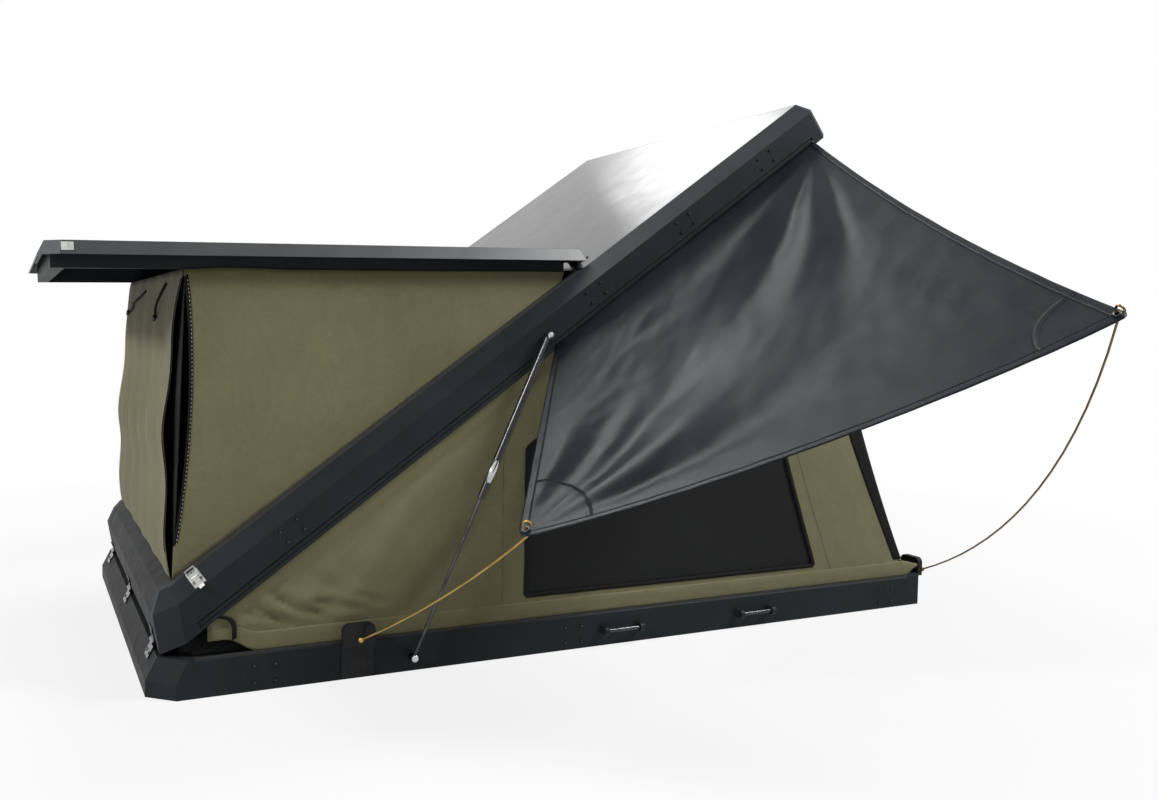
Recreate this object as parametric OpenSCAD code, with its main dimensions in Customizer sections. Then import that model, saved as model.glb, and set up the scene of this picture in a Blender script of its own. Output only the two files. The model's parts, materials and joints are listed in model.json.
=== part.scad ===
// Roof top tent with a folding hard shell. A base tray carries a lid that is hinged at
// the front and stands open on gas struts. A hatch is hinged across the lid and lies level.
// Canvas closes the sides, and the door flap is held out as an awning by two spring rods.
// Millimetres. The origin is the centre of the base's underside, +X points to the free end
// of the lid, -Y to the door side and +Z up. Lid and hatch are drawn closed, then turned.

/* [Base tray] */
// Overall length of the base
base_length = 2200; // [2150:10:2400]
// Overall width of the base
base_width = 1380; // [1200:10:1600]
// Height of the base rails
base_height = 86; // [76:1:100]
// Cut of the front corners, seen from above
corner_cut = 58; // [40:1:80]
// Cut of the rear corners, seen from above
rear_cut = 20; // [10:1:40]
// Length of the rear corner castings
rear_casting = 60; // [50:1:90]
// Height of the upright band under the sloping front
front_band = 36; // [20:1:50]
// Inward slope of the front, mm per mm of height
front_slope = 0.5; // [0.3:0.05:0.7]
// Depth of the side rails
rail_depth = 42; // [34:1:55]
// Depth of the rear rail
rear_depth = 72; // [60:1:90]
// Wall of the extrusions
wall = 3; // [2:0.5:4]
// Edge break of the rails
edge_break = 3; // [1:0.5:5]

/* [Floor] */
// Width of a floor beam, a spine or a mounting track
beam_width = 46; // [36:1:60]
// Height of a floor beam, a spine or a mounting track
beam_height = 24; // [18:1:30]
// Floor panel thickness
floor_thickness = 10; // [6:1:16]
// Distance of each mounting track from the middle
track_offset = 330; // [250:5:450]
// Width of the slot in a mounting track
slot_width = 11; // [8:0.5:14]
// Width of the bolt head channel in a mounting track
channel_width = 24; // [18:0.5:30]
// Depth of the slot lips in a mounting track
slot_lip = 5; // [3:0.5:7]
// Depth of the bolt head channel
channel_depth = 12; // [8:0.5:14]
// Mattress thickness
mattress_thickness = 55; // [40:1:80]
// Gap between mattress and rails
mattress_gap = 12; // [5:1:40]
// Place of the front floor beam, from the front
beam_front = 245; // [180:5:350]
// Place of the middle floor beam, from the front
beam_middle = 1015; // [900:5:1130]
// Place of the rear floor beam, from the rear
beam_rear = 150; // [130:5:300]

/* [Lid] */
// Angle of the open lid
lid_open = 36; // [20:1:45]
// Gap between base and closed lid
lid_gap = 3; // [2:0.5:6]
// Height of the keder lip under the lid's side face
lip_height = 22; // [16:1:30]
// Height of the lid's side face
face_height = 58; // [45:1:80]
// Height of the chamfer round the lid's top
chamfer_height = 28; // [20:1:40]
// Inset of the chamfer at the sides
chamfer_inset = 57; // [40:1:70]
// Inset of the chamfer at the front
front_inset = 42; // [30:1:60]
// Inset of the chamfer at the corners
corner_inset = 48; // [35:1:60]
// Inset of the chamfer at the rear
rear_inset = 8; // [5:1:30]
// Inward slope of the lid's rear face, mm per mm of height
rear_slope = 0.1; // [0.05:0.01:0.3]
// Width of the flange that carries the top panel
flange_width = 38; // [30:1:50]
// Depth of the keder grooves
groove = 3; // [2:0.5:4]
// Place of the second cross beam, from the lid hinge
lid_beam_middle = 1635; // [1550:5:1750]
// Place of the third cross beam, from the lid's rear end
lid_beam_rear = 226; // [150:2:320]
// Place of the front bolts, from the lid hinge
front_bolts = 378; // [320:2:450]
// Distance of the bolts below the hatch hinges from the hatch axis
hatch_bolts = 57; // [45:1:80]
// Height of the lid's cross beams
lid_beam_height = 40; // [30:1:50]

/* [Hatch] */
// Angle between lid and open hatch
hatch_open = 34.4; // [15:0.1:44]
// Gap between lid and closed hatch
hatch_gap = 5; // [3:0.5:8]
// Length of the hatch
hatch_length = 1266; // [1100:2:1400]
// Height of the hatch rails
hatch_height = 30; // [28:1:45]
// Inward lean of the hatch's faces over their height
hatch_lean = 15; // [8:1:20]
// Corner cut of the hatch, seen from above
hatch_cut = 42; // [25:1:60]
// Depth of the hatch rails
hatch_rail = 48; // [40:1:60]
// Overlap of the hatch's front edge over the lid's opening
opening_lap = 21; // [18:1:60]
// Distance of the inner frame's rear end from the hatch's rear edge
inner_setback = 47; // [40:1:60]
// Height of the inner frame under the hatch
inner_height = 27; // [18:1:32]
// Width of the inner frame's tubes
inner_width = 28; // [20:1:34]
// Clearance of the inner frame in the lid's opening
inner_clearance = 4; // [3:0.5:8]
// Distance of the hatch axis from the lid hinge
hatch_reach = 1372; // [1300:2:1450]
// Hatch panel thickness
hatch_skin = 4; // [3:0.5:6]

/* [Hinges and latches] */
// Knuckle radius of the lid hinges
knuckle = 6; // [5:0.5:8]
// Width of a hinge
hinge_width = 52; // [40:1:70]
// Distance of the outer hinges from the lid's corner pieces
hinge_inset = 50; // [30:5:150]
// Length of a hinge leaf
leaf_length = 36; // [28:1:45]
// Thickness of a hinge leaf
leaf_thickness = 3; // [2:0.25:4]
// Radius of the hinge pins
pin_radius = 2.5; // [2:0.25:3]
// Height of the lid hinge axis over the base rails
hinge_rise = 11; // [10:0.5:14]
// Knuckle radius of the hatch hinges
hatch_knuckle = 5; // [4:0.5:6]
// Running clearance of pins and shafts
running = 0.05; // [0.02:0.01:0.1]
// Clearance between pieces that move past each other
clearance = 0.4; // [0.3:0.1:1]
// Length of a toggle latch's plate
latch_length = 56; // [46:1:60]
// Width of a toggle latch's plate
latch_width = 28; // [24:1:34]
// Distance of the hatch latches from the hatch's corner cuts
latch_inset = 16; // [14:1:80]
// Least distance of the hatch latches from the lid's front corner pieces
latch_room = 40; // [30:1:60]
// Distance of the rear latches from the middle
rear_latch_offset = 380; // [250:10:500]

/* [Gas struts] */
// Base pivot of the lid struts, from the front
strut_base_x = 585; // [540:5:650]
// Base pivot of the lid struts, height
strut_base_z = 37; // [25:1:50]
// Lid pivot of the lid struts, from the lid hinge
strut_lid_reach = 1139; // [1080:2:1180]
// Barrel radius
barrel_radius = 9.5; // [8:0.5:11]
// Rod radius
rod_radius = 4; // [3:0.25:5]
// Length of a lid strut's barrel
barrel_length = 430; // [400:2:450]
// Stand-off of the struts from the rails
strut_standoff = 10; // [8:0.5:14]
// Hatch pivot of the hatch struts, from the hatch axis
hatch_strut_near = 350; // [300:2:400]
// Lid pivot of the hatch struts, from the hatch axis
hatch_strut_far = 700; // [650:2:760]
// Length of a hatch strut's barrel
hatch_barrel = 215; // [190:1:230]

/* [Awning and rods] */
// Front end of the awning's seam, along the lid from its hinge
awning_start = 1146; // [1120:2:1250]
// Swing of the door flap out of the wall
awning_swing = 75; // [50:1:85]
// Depth of the flap at its front edge
flap_front = 482; // [420:2:600]
// Depth of the flap at its rear edge
flap_rear = 1157; // [950:2:1250]
// Overhang of the flap's front corner along the seam
flap_lead = 465; // [350:2:480]
// Setback of the flap's rear corner along the seam
flap_back = 402; // [300:2:500]
// Diameter of the spring rods
spring_rod = 5; // [4:0.5:7]
// Radius of the ball at a rod's foot
rod_ball = 7; // [6:0.5:9]
// Place of the front rod holder, from the front
holder_x = 455; // [380:5:480]
// Place of the rear rod holder, from the near side
holder_y = 65; // [60:5:140]
// Bow of the rear rod
rod_bow = 96; // [40:2:150]
// Bow of the front rod
front_bow = 18; // [8:1:30]
// Ladder bar span
ladder_span = 92; // [80:1:120]
// Place of the front ladder bar, from the front
ladder_front = 1151; // [1100:5:1220]
// Distance between the ladder bars
ladder_pitch = 420; // [350:5:480]

/* [Canvas] */
// Cloth thickness of the walls
cloth = 2; // [1.5:0.25:3]
// Distance of the lower walls from the base's side faces
wall_inset = 16; // [13:0.5:22]
// Front end of the lower side walls, from the front
wall_front = 125; // [110:5:220]
// Rear wall's foot, from the rear
rear_foot = 67; // [55:1:70]
// Rear wall's head, along the lid from its rear end
rear_head = 62; // [52:1:110]
// Door window's front edge, from the front
window_front = 885; // [840:5:950]
// Door window's rear edge at the sill, from the front
window_rear = 1774; // [1700:5:1850]
// Height of the door sill over the base rails
sill = 60; // [40:1:90]
// Height of the skirt over the base rails
skirt_height = 46; // [30:1:55]
// Top of the upper front wall, back from the hatch's front edge
front_wall_setback = 290; // [200:2:340]
// Width of the opened zip beside the front flap
zip_gap = 56; // [20:2:90]
// Number of folds in the front flap
flap_folds = 5; // [2:1:8]
// Depth of the front flap's folds
fold_depth = 11; // [4:1:16]

/* [Hidden] */
$fn = 48;
half_length = base_length / 2;
half_width = base_width / 2;
near_face = -half_width;
lid_bottom = base_height + lid_gap;
face_bottom = lid_bottom + lip_height;
ridge = face_bottom + face_height;
lid_top = ridge + chamfer_height;
panel_seat = lid_top - wall;
hatch_bottom = lid_top + hatch_gap;
hatch_top = hatch_bottom + hatch_height;
slope_angle = atan(front_slope);
hinge_z = base_height + hinge_rise;
hinge_proud = leaf_thickness - 0.5;
hinge_x = front_x(hinge_z) - hinge_proud / cos(slope_angle);
hinge_at = [hinge_x, 0, hinge_z];
hatch_x = hinge_x + hatch_reach;
hatch_z = lid_top + hatch_knuckle + 2;
hatch_axis = [hatch_x, 0, hatch_z];
hatch_rear = hatch_x - hatch_knuckle - 2;
hatch_front = hatch_rear - hatch_length;
chamfer_edge = half_width - chamfer_inset;
rear_ridge = half_length - rear_slope * face_height;
rear_edge = rear_ridge - rear_inset;
front_edge = front_x(ridge) + front_inset;
lid_corner_front = front_x(ridge) + corner_cut + edge_break;
lid_corner_rear = half_length - rear_casting;
lid_corner_side = half_width - corner_cut - 0.71 * corner_inset - 8;
base_corner_front = front_x(base_height) + corner_cut + 12;
base_corner_side = half_width - corner_cut - 12;
front_inner = front_x(base_height) + 37;
rear_inner = half_length - rear_depth;
rail_inner = half_width - rail_depth;
opening_front = hatch_front + opening_lap;
opening_half = chamfer_edge - flange_width;
inner_half = opening_half - inner_clearance;
inner_front = opening_front + inner_clearance;
inner_rear = hatch_rear - inner_setback;
inner_bottom = hatch_bottom - inner_height;
hinge_rail = inner_rear + 16;
floor_top = 2 * beam_height + floor_thickness;
seat = 0.2;
lip_setback = 2;
beam_seat = half_width - 40;
hatch_boss = 7;
lower_wall = half_width - wall_inset;
upper_wall = opening_half + 0.5;
beams = [beam_front - half_length, beam_middle - half_length, half_length - beam_rear];
hinges = [hinge_inset - lid_corner_side, 0, lid_corner_side - hinge_inset];
lid_beams = [lid_beam_middle, half_length - hinge_x - lid_beam_rear];
lid_bolt_rows = [front_bolts, hatch_reach - hatch_bolts, lid_beams[0], lid_beams[1]];
bolt_pitch = 46;
base_bolt_rise = 38;
lid_bolt_rise = 29;
apron_bottom = hinge_z + knuckle + 2;

strut_y = half_width + strut_standoff + clearance + barrel_radius;
strut_foot = [strut_base_x - half_length, 0, strut_base_z];
strut_head_closed = [hinge_x + strut_lid_reach, 0, (face_bottom + ridge) / 2 - 5];
strut_head = lid_at(strut_head_closed);
strut_length = norm(strut_head - strut_foot);
strut_angle = atan2(strut_head[2] - strut_foot[2], strut_head[0] - strut_foot[0]);
hatch_strut_y = inner_half - inner_width - 18;
hatch_strut_head_closed = [hatch_x - hatch_strut_near, 0, hatch_bottom - 12];
hatch_strut_foot_closed = [hatch_x - hatch_strut_far, 0, ridge - 18];
hatch_strut_head = hatch_at(hatch_strut_head_closed);
hatch_strut_foot = lid_at(hatch_strut_foot_closed);
hatch_strut_length = norm(hatch_strut_head - hatch_strut_foot);
hatch_strut_angle = atan2(hatch_strut_head[2] - hatch_strut_foot[2],
    hatch_strut_head[0] - hatch_strut_foot[0]);

awning_z = lid_bottom + 8;
awning_y = near_face + lip_setback - clearance - cloth / 6;
seam_front = lid_at([hinge_x + awning_start, awning_y, awning_z]);
seam_rear = lid_at([lid_corner_rear - clearance, awning_y, awning_z]);
seam = unit(seam_rear - seam_front);
flap_down = cos(awning_swing) * [seam[2], 0, -seam[0]] + sin(awning_swing) * [0, -1, 0];
flap_up = -cross(seam, flap_down);
seam_length = norm(seam_rear - seam_front);
corner_front = seam_front - flap_lead * seam + flap_front * flap_down;
corner_rear = seam_front + (seam_length - flap_back) * seam + flap_rear * flap_down;
grommet_inset = 16;
grommet_hole = 6;
eyelet_front = corner_front + 1.5 * grommet_inset
    * unit(unit(seam_front - corner_front) + unit(corner_rear - corner_front));
eyelet_rear = corner_rear + 1.5 * grommet_inset
    * unit(unit(seam_rear - corner_rear) + unit(corner_front - corner_rear));
rod_r = spring_rod / 2;
holder_lug = 16;
holder_plate = 4;
rod_out = holder_plate + holder_lug + 4;
rod_rise = base_height / 2 + 9;
rod_shift = 34;
holder_front = [holder_x - half_length, near_face, base_height / 2];
holder_rear = [half_length, near_face + holder_y, base_height / 2];
rod_foot_front = holder_front + [2, -rod_out, rod_rise];
rod_foot_rear = holder_rear + [rod_out, -rod_shift, rod_rise];
latch_x = max(hatch_front + hatch_cut + latch_inset, lid_corner_front + latch_room);
latch_pivot = 7;
latch_crank = 7;
latch_pin = 2;
rear_hook = (face_bottom + ridge) / 2 - base_height + 12;
window_sill = base_height + sill;
wall_foot = base_height + clearance;
wall_head = lid_at([half_length - rear_head, 0, lid_bottom - clearance]);
wall_start = wall_front - half_length;
wall_end = half_length - rear_foot;
front_foot = [opening_front - 5, 0, lid_top + clearance];
front_head = under_hatch(hatch_front + front_wall_setback);

// Front face of the closed shell at a height
function front_x(z) = -half_length + front_slope * max(0, z - front_band);
// A vector of length one
function unit(v) = v / norm(v);
// Turn a point about an axis along Y, with +X lifted
function lift(p, c, a) = [
    c[0] + (p[0] - c[0]) * cos(a) - (p[2] - c[2]) * sin(a),
    p[1],
    c[2] + (p[0] - c[0]) * sin(a) + (p[2] - c[2]) * cos(a)];
// Where a point of the closed lid stands when the lid is open
function lid_at(p) = lift(p, hinge_at, lid_open);
// Where a point of the closed hatch stands when lid and hatch are open
function hatch_at(p) = lid_at(lift(p, hatch_axis, -hatch_open));
// Height of the lower walls' top edge at a place along the base
function lid_line(x) = hinge_z + (x - hinge_x) * tan(lid_open) + (lid_bottom - clearance - hinge_z) / cos(lid_open);
// Point under the hatch's inner frame, seen from the closed lid
function under_hatch(x) = lift([x, 0, inner_bottom - clearance], hatch_axis, -hatch_open);
// Points of a bend from p with heading h
function wire_arc(p, h, r, turn, n) = [for (i = [1 : n]) let (a = h + turn * i / n)
    [p[0] + sign(turn) * r * (sin(a) - sin(h)), p[1] + sign(turn) * r * (cos(h) - cos(a)), a]];
// The point straight ahead of the last one
function wire_run(p, length) = [p[0] + length * cos(p[2]), p[1] + length * sin(p[2]), p[2]];
// Plan view of a point, for outlines drawn in the XZ plane
function flat_xz(p) = [p[0], p[2]];

// Stand the closed lid's pieces open
module lid_pose() {
    translate(hinge_at) rotate([0, -lid_open, 0]) translate(-hinge_at) children();
}

// Stand the closed hatch's pieces open
module hatch_pose() {
    lid_pose() translate(hatch_axis) rotate([0, hatch_open, 0]) translate(-hatch_axis) children();
}

// The same piece on the near and the far side
module both_sides() {
    children();
    mirror([0, 1, 0]) children();
}

// Extrude an outline in (Y, Z) along X
module along_x(x0, x1) {
    translate([x0, 0, 0]) rotate([90, 0, 90]) linear_extrude(x1 - x0) children();
}

// Extrude an outline in (X, Z) along Y
module along_y(y0, y1) {
    translate([0, y1, 0]) rotate([90, 0, 0]) linear_extrude(y1 - y0) children();
}

// Everything beyond a plane through p that faces azimuth az and elevation el
module beyond(p, az, el, inward = 0) {
    reach = 3 * base_length;
    translate(p) rotate([0, 0, az]) rotate([0, -el, 0])
        translate([-inward, -reach / 2, -reach / 2]) cube(reach);
}

// Point local X along dir and local Y along side
module aim(dir, side) {
    az = atan2(dir[1], dir[0]);
    el = asin(dir[2] / norm(dir));
    level = [-sin(az), cos(az), 0];
    rise = cross(unit(dir), level);
    rotate([0, 0, az]) rotate([0, -el, 0]) rotate([atan2(side * rise, side * level), 0, 0]) children();
}

// Round wire along a plane path of [x, y, heading] points
module swept_wire(path, r) {
    sides = 8;
    n = len(path);
    points = [for (q = path) for (k = [0 : sides - 1]) let (a = 360 * k / sides)
        [q[0] - r * cos(a) * sin(q[2]), q[1] + r * cos(a) * cos(q[2]), r * sin(a)]];
    faces = concat([[for (k = [0 : sides - 1]) k], [for (k = [sides - 1 : -1 : 0]) (n - 1) * sides + k]],
        [for (i = [0 : n - 2]) for (k = [0 : sides - 1]) let (m = (k + 1) % sides) each [
            [i * sides + k, (i + 1) * sides + k, (i + 1) * sides + m],
            [i * sides + k, (i + 1) * sides + m, i * sides + m]]]);
    polyhedron(points, faces);
}

// Closed sheet between two grids of points
module sheet(top, bottom) {
    n = len(top);
    m = len(top[0]);
    points = concat([for (row = top) for (p = row) p], [for (row = bottom) for (p = row) p]);
    k = n * m;
    faces = concat(
        [for (i = [0 : n - 2]) for (j = [0 : m - 2]) each [
            [i * m + j, i * m + j + 1, (i + 1) * m + j + 1],
            [i * m + j, (i + 1) * m + j + 1, (i + 1) * m + j],
            [k + i * m + j, k + (i + 1) * m + j + 1, k + i * m + j + 1],
            [k + i * m + j, k + (i + 1) * m + j, k + (i + 1) * m + j + 1]]],
        [for (i = [0 : n - 2]) for (j = [0, m - 1]) let (
            a = i * m + j, b = (i + 1) * m + j, s = j == 0)
            each [s ? [a, b, k + b] : [a, k + b, b], s ? [a, k + b, k + a] : [a, k + a, k + b]]],
        [for (j = [0 : m - 2]) for (i = [0, n - 1]) let (
            a = i * m + j, b = i * m + j + 1, s = i == 0)
            each [s ? [a, k + b, b] : [a, b, k + b], s ? [a, k + a, k + b] : [a, k + b, k + a]]]);
    polyhedron(points, faces);
}

// Outer block of the base tray, or the same block drawn in by a wall
module base_block(inward) {
    foot = inward > 0 ? -1 : 0;
    difference() {
        translate([-half_length + inward, -half_width + inward, foot])
            cube([base_length - 2 * inward, base_width - 2 * inward, base_height - inward - foot]);
        beyond([front_x(base_height), 0, base_height], 180, slope_angle, inward);
        for (side = [-1, 1]) {
            beyond([-half_length, side * (half_width - corner_cut), 0], side * 135, 0, inward);
            beyond([-half_length, side * (half_width - corner_cut), front_band], side * 135,
                atan(front_slope / sqrt(2)), inward);
            beyond([half_length, side * (half_width - rear_cut), 0], side * 45, 0, inward);
        }
    }
}

// Outer block of the closed lid, or the same block drawn in by a wall
module lid_block(inward) {
    foot = inward > 0 ? lid_bottom - 1 : lid_bottom;
    difference() {
        translate([-half_length + inward, -half_width + inward, foot])
            cube([base_length - 2 * inward, base_width - 2 * inward, lid_top - inward - foot]);
        beyond([front_x(ridge), 0, ridge], 180, slope_angle, inward);
        beyond([front_x(ridge), 0, ridge], 180, atan2(front_inset, chamfer_height), inward);
        beyond([rear_ridge, 0, ridge], 0, atan(rear_slope), inward);
        beyond([rear_ridge, 0, ridge], 0, atan2(rear_inset, chamfer_height), inward);
        for (side = [-1, 1]) {
            front_corner = [front_x(ridge), side * (half_width - corner_cut), ridge];
            rear_corner = [rear_ridge, side * (half_width - rear_cut), ridge];
            beyond([0, side * half_width, ridge], side * 90, atan2(chamfer_inset, chamfer_height), inward);
            beyond(front_corner, side * 135, atan(front_slope / sqrt(2)), inward);
            beyond(front_corner, side * 135, atan2(corner_inset, chamfer_height), inward);
            beyond(rear_corner, side * 45, 0, inward);
            beyond(rear_corner, side * 45, atan2((chamfer_inset + rear_inset) / 2, chamfer_height), inward);
        }
    }
}

// Outer block of the closed hatch, or the same block drawn in by a wall
module hatch_block(inward) {
    foot = inward > 0 ? hatch_bottom - 1 : hatch_bottom;
    lean = atan2(hatch_lean, hatch_height);
    difference() {
        translate([hatch_front + inward, -chamfer_edge + inward, foot])
            cube([hatch_length - 2 * inward, 2 * (chamfer_edge - inward), hatch_top - inward - foot]);
        beyond([hatch_front, 0, hatch_bottom], 180, lean, inward);
        beyond([hatch_rear, 0, hatch_bottom], 0, lean, inward);
        for (side = [-1, 1]) {
            beyond([0, side * chamfer_edge, hatch_bottom], side * 90, lean, inward);
            beyond([hatch_front, side * (chamfer_edge - hatch_cut), hatch_bottom], side * 135, lean, inward);
        }
    }
}

// Box rail along the near side of the base
module base_side_rail() {
    along_x(base_corner_front, half_length - rear_casting) difference() {
        polygon([[near_face, 0], [near_face, base_height - edge_break],
            [near_face + edge_break, base_height], [near_face + rail_depth, base_height],
            [near_face + rail_depth, 0]]);
        translate([near_face + wall, wall]) square([rail_depth - 2 * wall, base_height - 2 * wall]);
    }
}

module base_side_rail_near() {
    color("#24272a") base_side_rail();
}

module base_side_rail_far() {
    color("#24272a") mirror([0, 1, 0]) base_side_rail();
}

// Front rail with its upright band and sloping face
module base_front_rail() {
    color("#24272a") along_y(-base_corner_side, base_corner_side) difference() {
        polygon([[-half_length, 0], [-half_length, front_band], [front_x(base_height), base_height],
            [front_inner, base_height], [front_inner, 0]]);
        polygon([[-half_length + wall, wall], [-half_length + wall, front_band],
            [front_x(base_height) + wall, base_height - wall], [front_inner - wall, base_height - wall],
            [front_inner - wall, wall]]);
    }
}

// Rear rail, wide enough to carry the rear wall's foot
module base_rear_rail() {
    reach = half_width - rear_casting;
    color("#24272a") along_y(-reach, reach) difference() {
        polygon([[half_length, 0], [half_length, base_height - edge_break],
            [half_length - edge_break, base_height], [rear_inner, base_height], [rear_inner, 0]]);
        translate([rear_inner + wall, wall]) square([rear_depth - 2 * wall, base_height - 2 * wall]);
    }
}

// Corner castings of the base with their facets
module base_corners() {
    color("#2b2e31") intersection() {
        difference() {
            base_block(0);
            base_block(wall);
        }
        both_sides() {
            translate([-half_length - 1, -half_width - 1, -1])
                cube([base_corner_front + half_length + 1, half_width - base_corner_side + 1, base_height + 2]);
            translate([half_length - rear_casting, -half_width - 1, -1])
                cube([rear_casting + 1, rear_casting + 1, base_height + 2]);
        }
    }
}

module floor_panel() {
    color("#8d8f90") translate([front_inner, -rail_inner, 2 * beam_height])
        cube([rear_inner - front_inner, 2 * rail_inner, floor_thickness]);
}

// Cross beams under the floor and the spine under them
module floor_beams() {
    color("#9a9da0") {
        for (x = beams) translate([x - beam_width / 2, -rail_inner, beam_height])
            cube([beam_width, 2 * rail_inner, beam_height]);
        translate([front_inner, -beam_width / 2, 0])
            cube([rear_inner - front_inner, beam_width, beam_height - seat]);
    }
}

// Slotted track that takes the bolt heads of the roof bar clamps
module mounting_track() {
    along_x(front_inner, rear_inner) translate([-track_offset, 0]) difference() {
        translate([-beam_width / 2, 0]) square([beam_width, beam_height - seat]);
        translate([-slot_width / 2, -1]) square([slot_width, slot_lip + 2]);
        translate([-channel_width / 2, slot_lip]) square([channel_width, channel_depth]);
    }
}

module mounting_track_near() {
    color("#b4b7ba") mounting_track();
}

module mounting_track_far() {
    color("#b4b7ba") mirror([0, 1, 0]) mounting_track();
}

// Button head that stands out of a near side face
module button_head(r, h) {
    rotate([90, 0, 0]) cylinder(h = h, r1 = r, r2 = 0.72 * r);
}

// Four bolts and two rivets that hold a cross beam
module bolt_group(rise) {
    for (dx = [-0.5, 0.5]) for (dz = [-0.5, 0.5])
        translate([dx * bolt_pitch, 0, dz * rise]) button_head(4.6, 3);
    for (dx = [-1, 1]) translate([dx * bolt_pitch, 0, dx * 2]) button_head(2.2, 1.2);
}

module base_bolts() {
    color("#17191b") both_sides() {
        for (x = beams) translate([x, near_face, 1.5 * beam_height + 3]) bolt_group(base_bolt_rise);
        translate(strut_foot) translate([0, near_face, 0]) rotate([90, 0, 0]) cylinder(h = strut_standoff, r = 5.5);
    }
}

// Rubber strips between base and lid
module base_seal() {
    strip = lid_gap - clearance;
    color("#101112") {
        both_sides() translate([base_corner_front, near_face + 3.5, base_height])
            cube([half_length - rear_casting - base_corner_front, 8, strip]);
        translate([half_length - 14, -half_width + rear_casting, base_height])
            cube([9, 2 * (half_width - rear_casting), strip]);
    }
}

// Mattress with a crowned top, sides drawn in between its corners
module mattress() {
    rows = 28;
    cols = 20;
    x0 = front_inner + mattress_gap;
    x1 = rear_inner - mattress_gap;
    half = rail_inner - mattress_gap;
    function swell(t) = pow(max(0, 1 - pow(abs(2 * t - 1), 8)), 0.5);
    function place(u, v) = [
        x0 + (x1 - x0) * u + 9 * sin(180 * v) * (u < 0.5 ? 1 : -1) * pow(abs(2 * u - 1), 6),
        (2 * v - 1) * (half - 9 * sin(180 * u) * pow(abs(2 * v - 1), 6))];
    function grid(z0, dz) = [for (i = [0 : rows]) [for (j = [0 : cols])
        let (q = place(i / rows, j / cols)) [q[0], q[1], z0 + dz * swell(i / rows) * swell(j / cols)]]];
    middle = floor_top + clearance + 0.35 * mattress_thickness;
    color("#4b4d4f") sheet(grid(middle + 1, 0.65 * mattress_thickness - 1), grid(middle, -0.35 * mattress_thickness));
}

// Bars that the ladder hooks on
module ladder_bars() {
    color("#c8cacc") for (i = [0, 1])
        translate([ladder_front - half_length + i * ladder_pitch, near_face - 22, base_height / 2])
            rotate([0, 90, 0]) cylinder(h = ladder_span, r = 5, center = true);
}

// Lugs at both ends of each ladder bar
module ladder_brackets() {
    color("#141618") for (i = [0, 1]) for (s = [-1, 1])
        translate([ladder_front - half_length + i * ladder_pitch + s * (ladder_span / 2 + 6), near_face, base_height / 2])
            rotate([90, 0, 90]) translate([0, 0, -6]) linear_extrude(12) {
                translate([-22, 0]) circle(11);
                translate([-22, -11]) square([22, 22]);
            }
}

// Plate, screws and rounded lug with a dimple for a rod's ball, on a face that looks to -Y
module rod_holder(foot) {
    width = 76;
    round = 16;
    lug_low = base_height / 2 - 8;
    lug_high = base_height / 2 + 46;
    difference() {
        union() {
            translate([-width / 2, -holder_plate, 4 - base_height / 2])
                cube([width, holder_plate, base_height / 2 + lug_low + 4]);
            along_y(-holder_plate - holder_lug, -holder_plate) {
                translate([-width / 2, lug_low]) square([width, lug_high - round - lug_low]);
                for (s = [-1, 1]) translate([s * (width / 2 - round), lug_high - round]) circle(round);
                translate([round - width / 2, lug_high - round]) square([width - 2 * round, round]);
            }
            along_y(-holder_plate, -1) translate([round - width / 2, lug_low])
                square([width - 2 * round, lug_high - lug_low - round]);
        }
        translate([foot[0], -rod_out, foot[1]]) sphere(rod_ball + clearance);
    }
    for (dx = [-1, 1]) for (dz = [-0.8, 0])
        translate([dx * width * 0.34, -holder_plate, dz * base_height * 0.33]) button_head(4, 2.5);
}

module rod_holders() {
    color("#1b1d1f") {
        translate(holder_front) rod_holder([2, rod_rise]);
        translate(holder_rear) rotate([0, 0, 90]) rod_holder([-rod_shift, rod_rise]);
    }
}

// Fluted clamp knob in front of a holder's lug
module clamp_knob() {
    rotate([90, 0, 0]) difference() {
        union() {
            cylinder(h = 4, r = 7);
            translate([0, 0, 4]) cylinder(h = 7, r = 12);
        }
        for (a = [0 : 60 : 300]) rotate([0, 0, a]) translate([13.5, 0, 3]) cylinder(h = 9, r = 3);
    }
}

module clamp_knob_front() {
    color("#0e0f10") translate(holder_front)
        translate([22, -holder_plate - holder_lug - clearance, rod_rise + 23]) clamp_knob();
}

module clamp_knob_rear() {
    color("#0e0f10") translate(holder_rear) rotate([0, 0, 90])
        translate([12, -holder_plate - holder_lug - clearance, rod_rise + 18]) clamp_knob();
}

// Rod from its ball to the awning: it turns square to the cloth, goes through the eyelet and hooks over
module spring_wire(foot, eyelet, bow) {
    drop = 14;
    bend = 14;
    chord = eyelet - drop * flap_up - foot;
    dir = unit(chord);
    side = unit(flap_up - (flap_up * dir) * dir);
    span = norm(chord);
    turn = 4 * atan(2 * bow / span);
    arc_radius = span / 2 / sin(turn / 2);
    last_turn = acos(flap_up * dir) - turn / 2;
    reach = bend * tan(last_turn / 2);
    kick = 2 * drop - reach;
    bow_path = wire_arc([0, 0], -turn / 2, arc_radius, turn * (1 - reach / span), 16);
    bow_end = bow_path[len(bow_path) - 1];
    rise_path = wire_arc(bow_end, bow_end[2], bend, last_turn + turn * reach / span, 6);
    through = wire_run(rise_path[len(rise_path) - 1], kick);
    hook_path = wire_arc(through, through[2], 9, -190, 9);
    tip = wire_run(hook_path[len(hook_path) - 1], 4);
    color("#b9a04a") translate(foot) {
        sphere(rod_ball);
        aim(dir, side) swept_wire(concat([[0, 0, -turn / 2]], bow_path, rise_path, [through], hook_path, [tip]), rod_r);
    }
}

module awning_rod_front() {
    spring_wire(rod_foot_front, eyelet_front, front_bow);
}

module awning_rod_rear() {
    spring_wire(rod_foot_rear, eyelet_rear, rod_bow);
}

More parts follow.
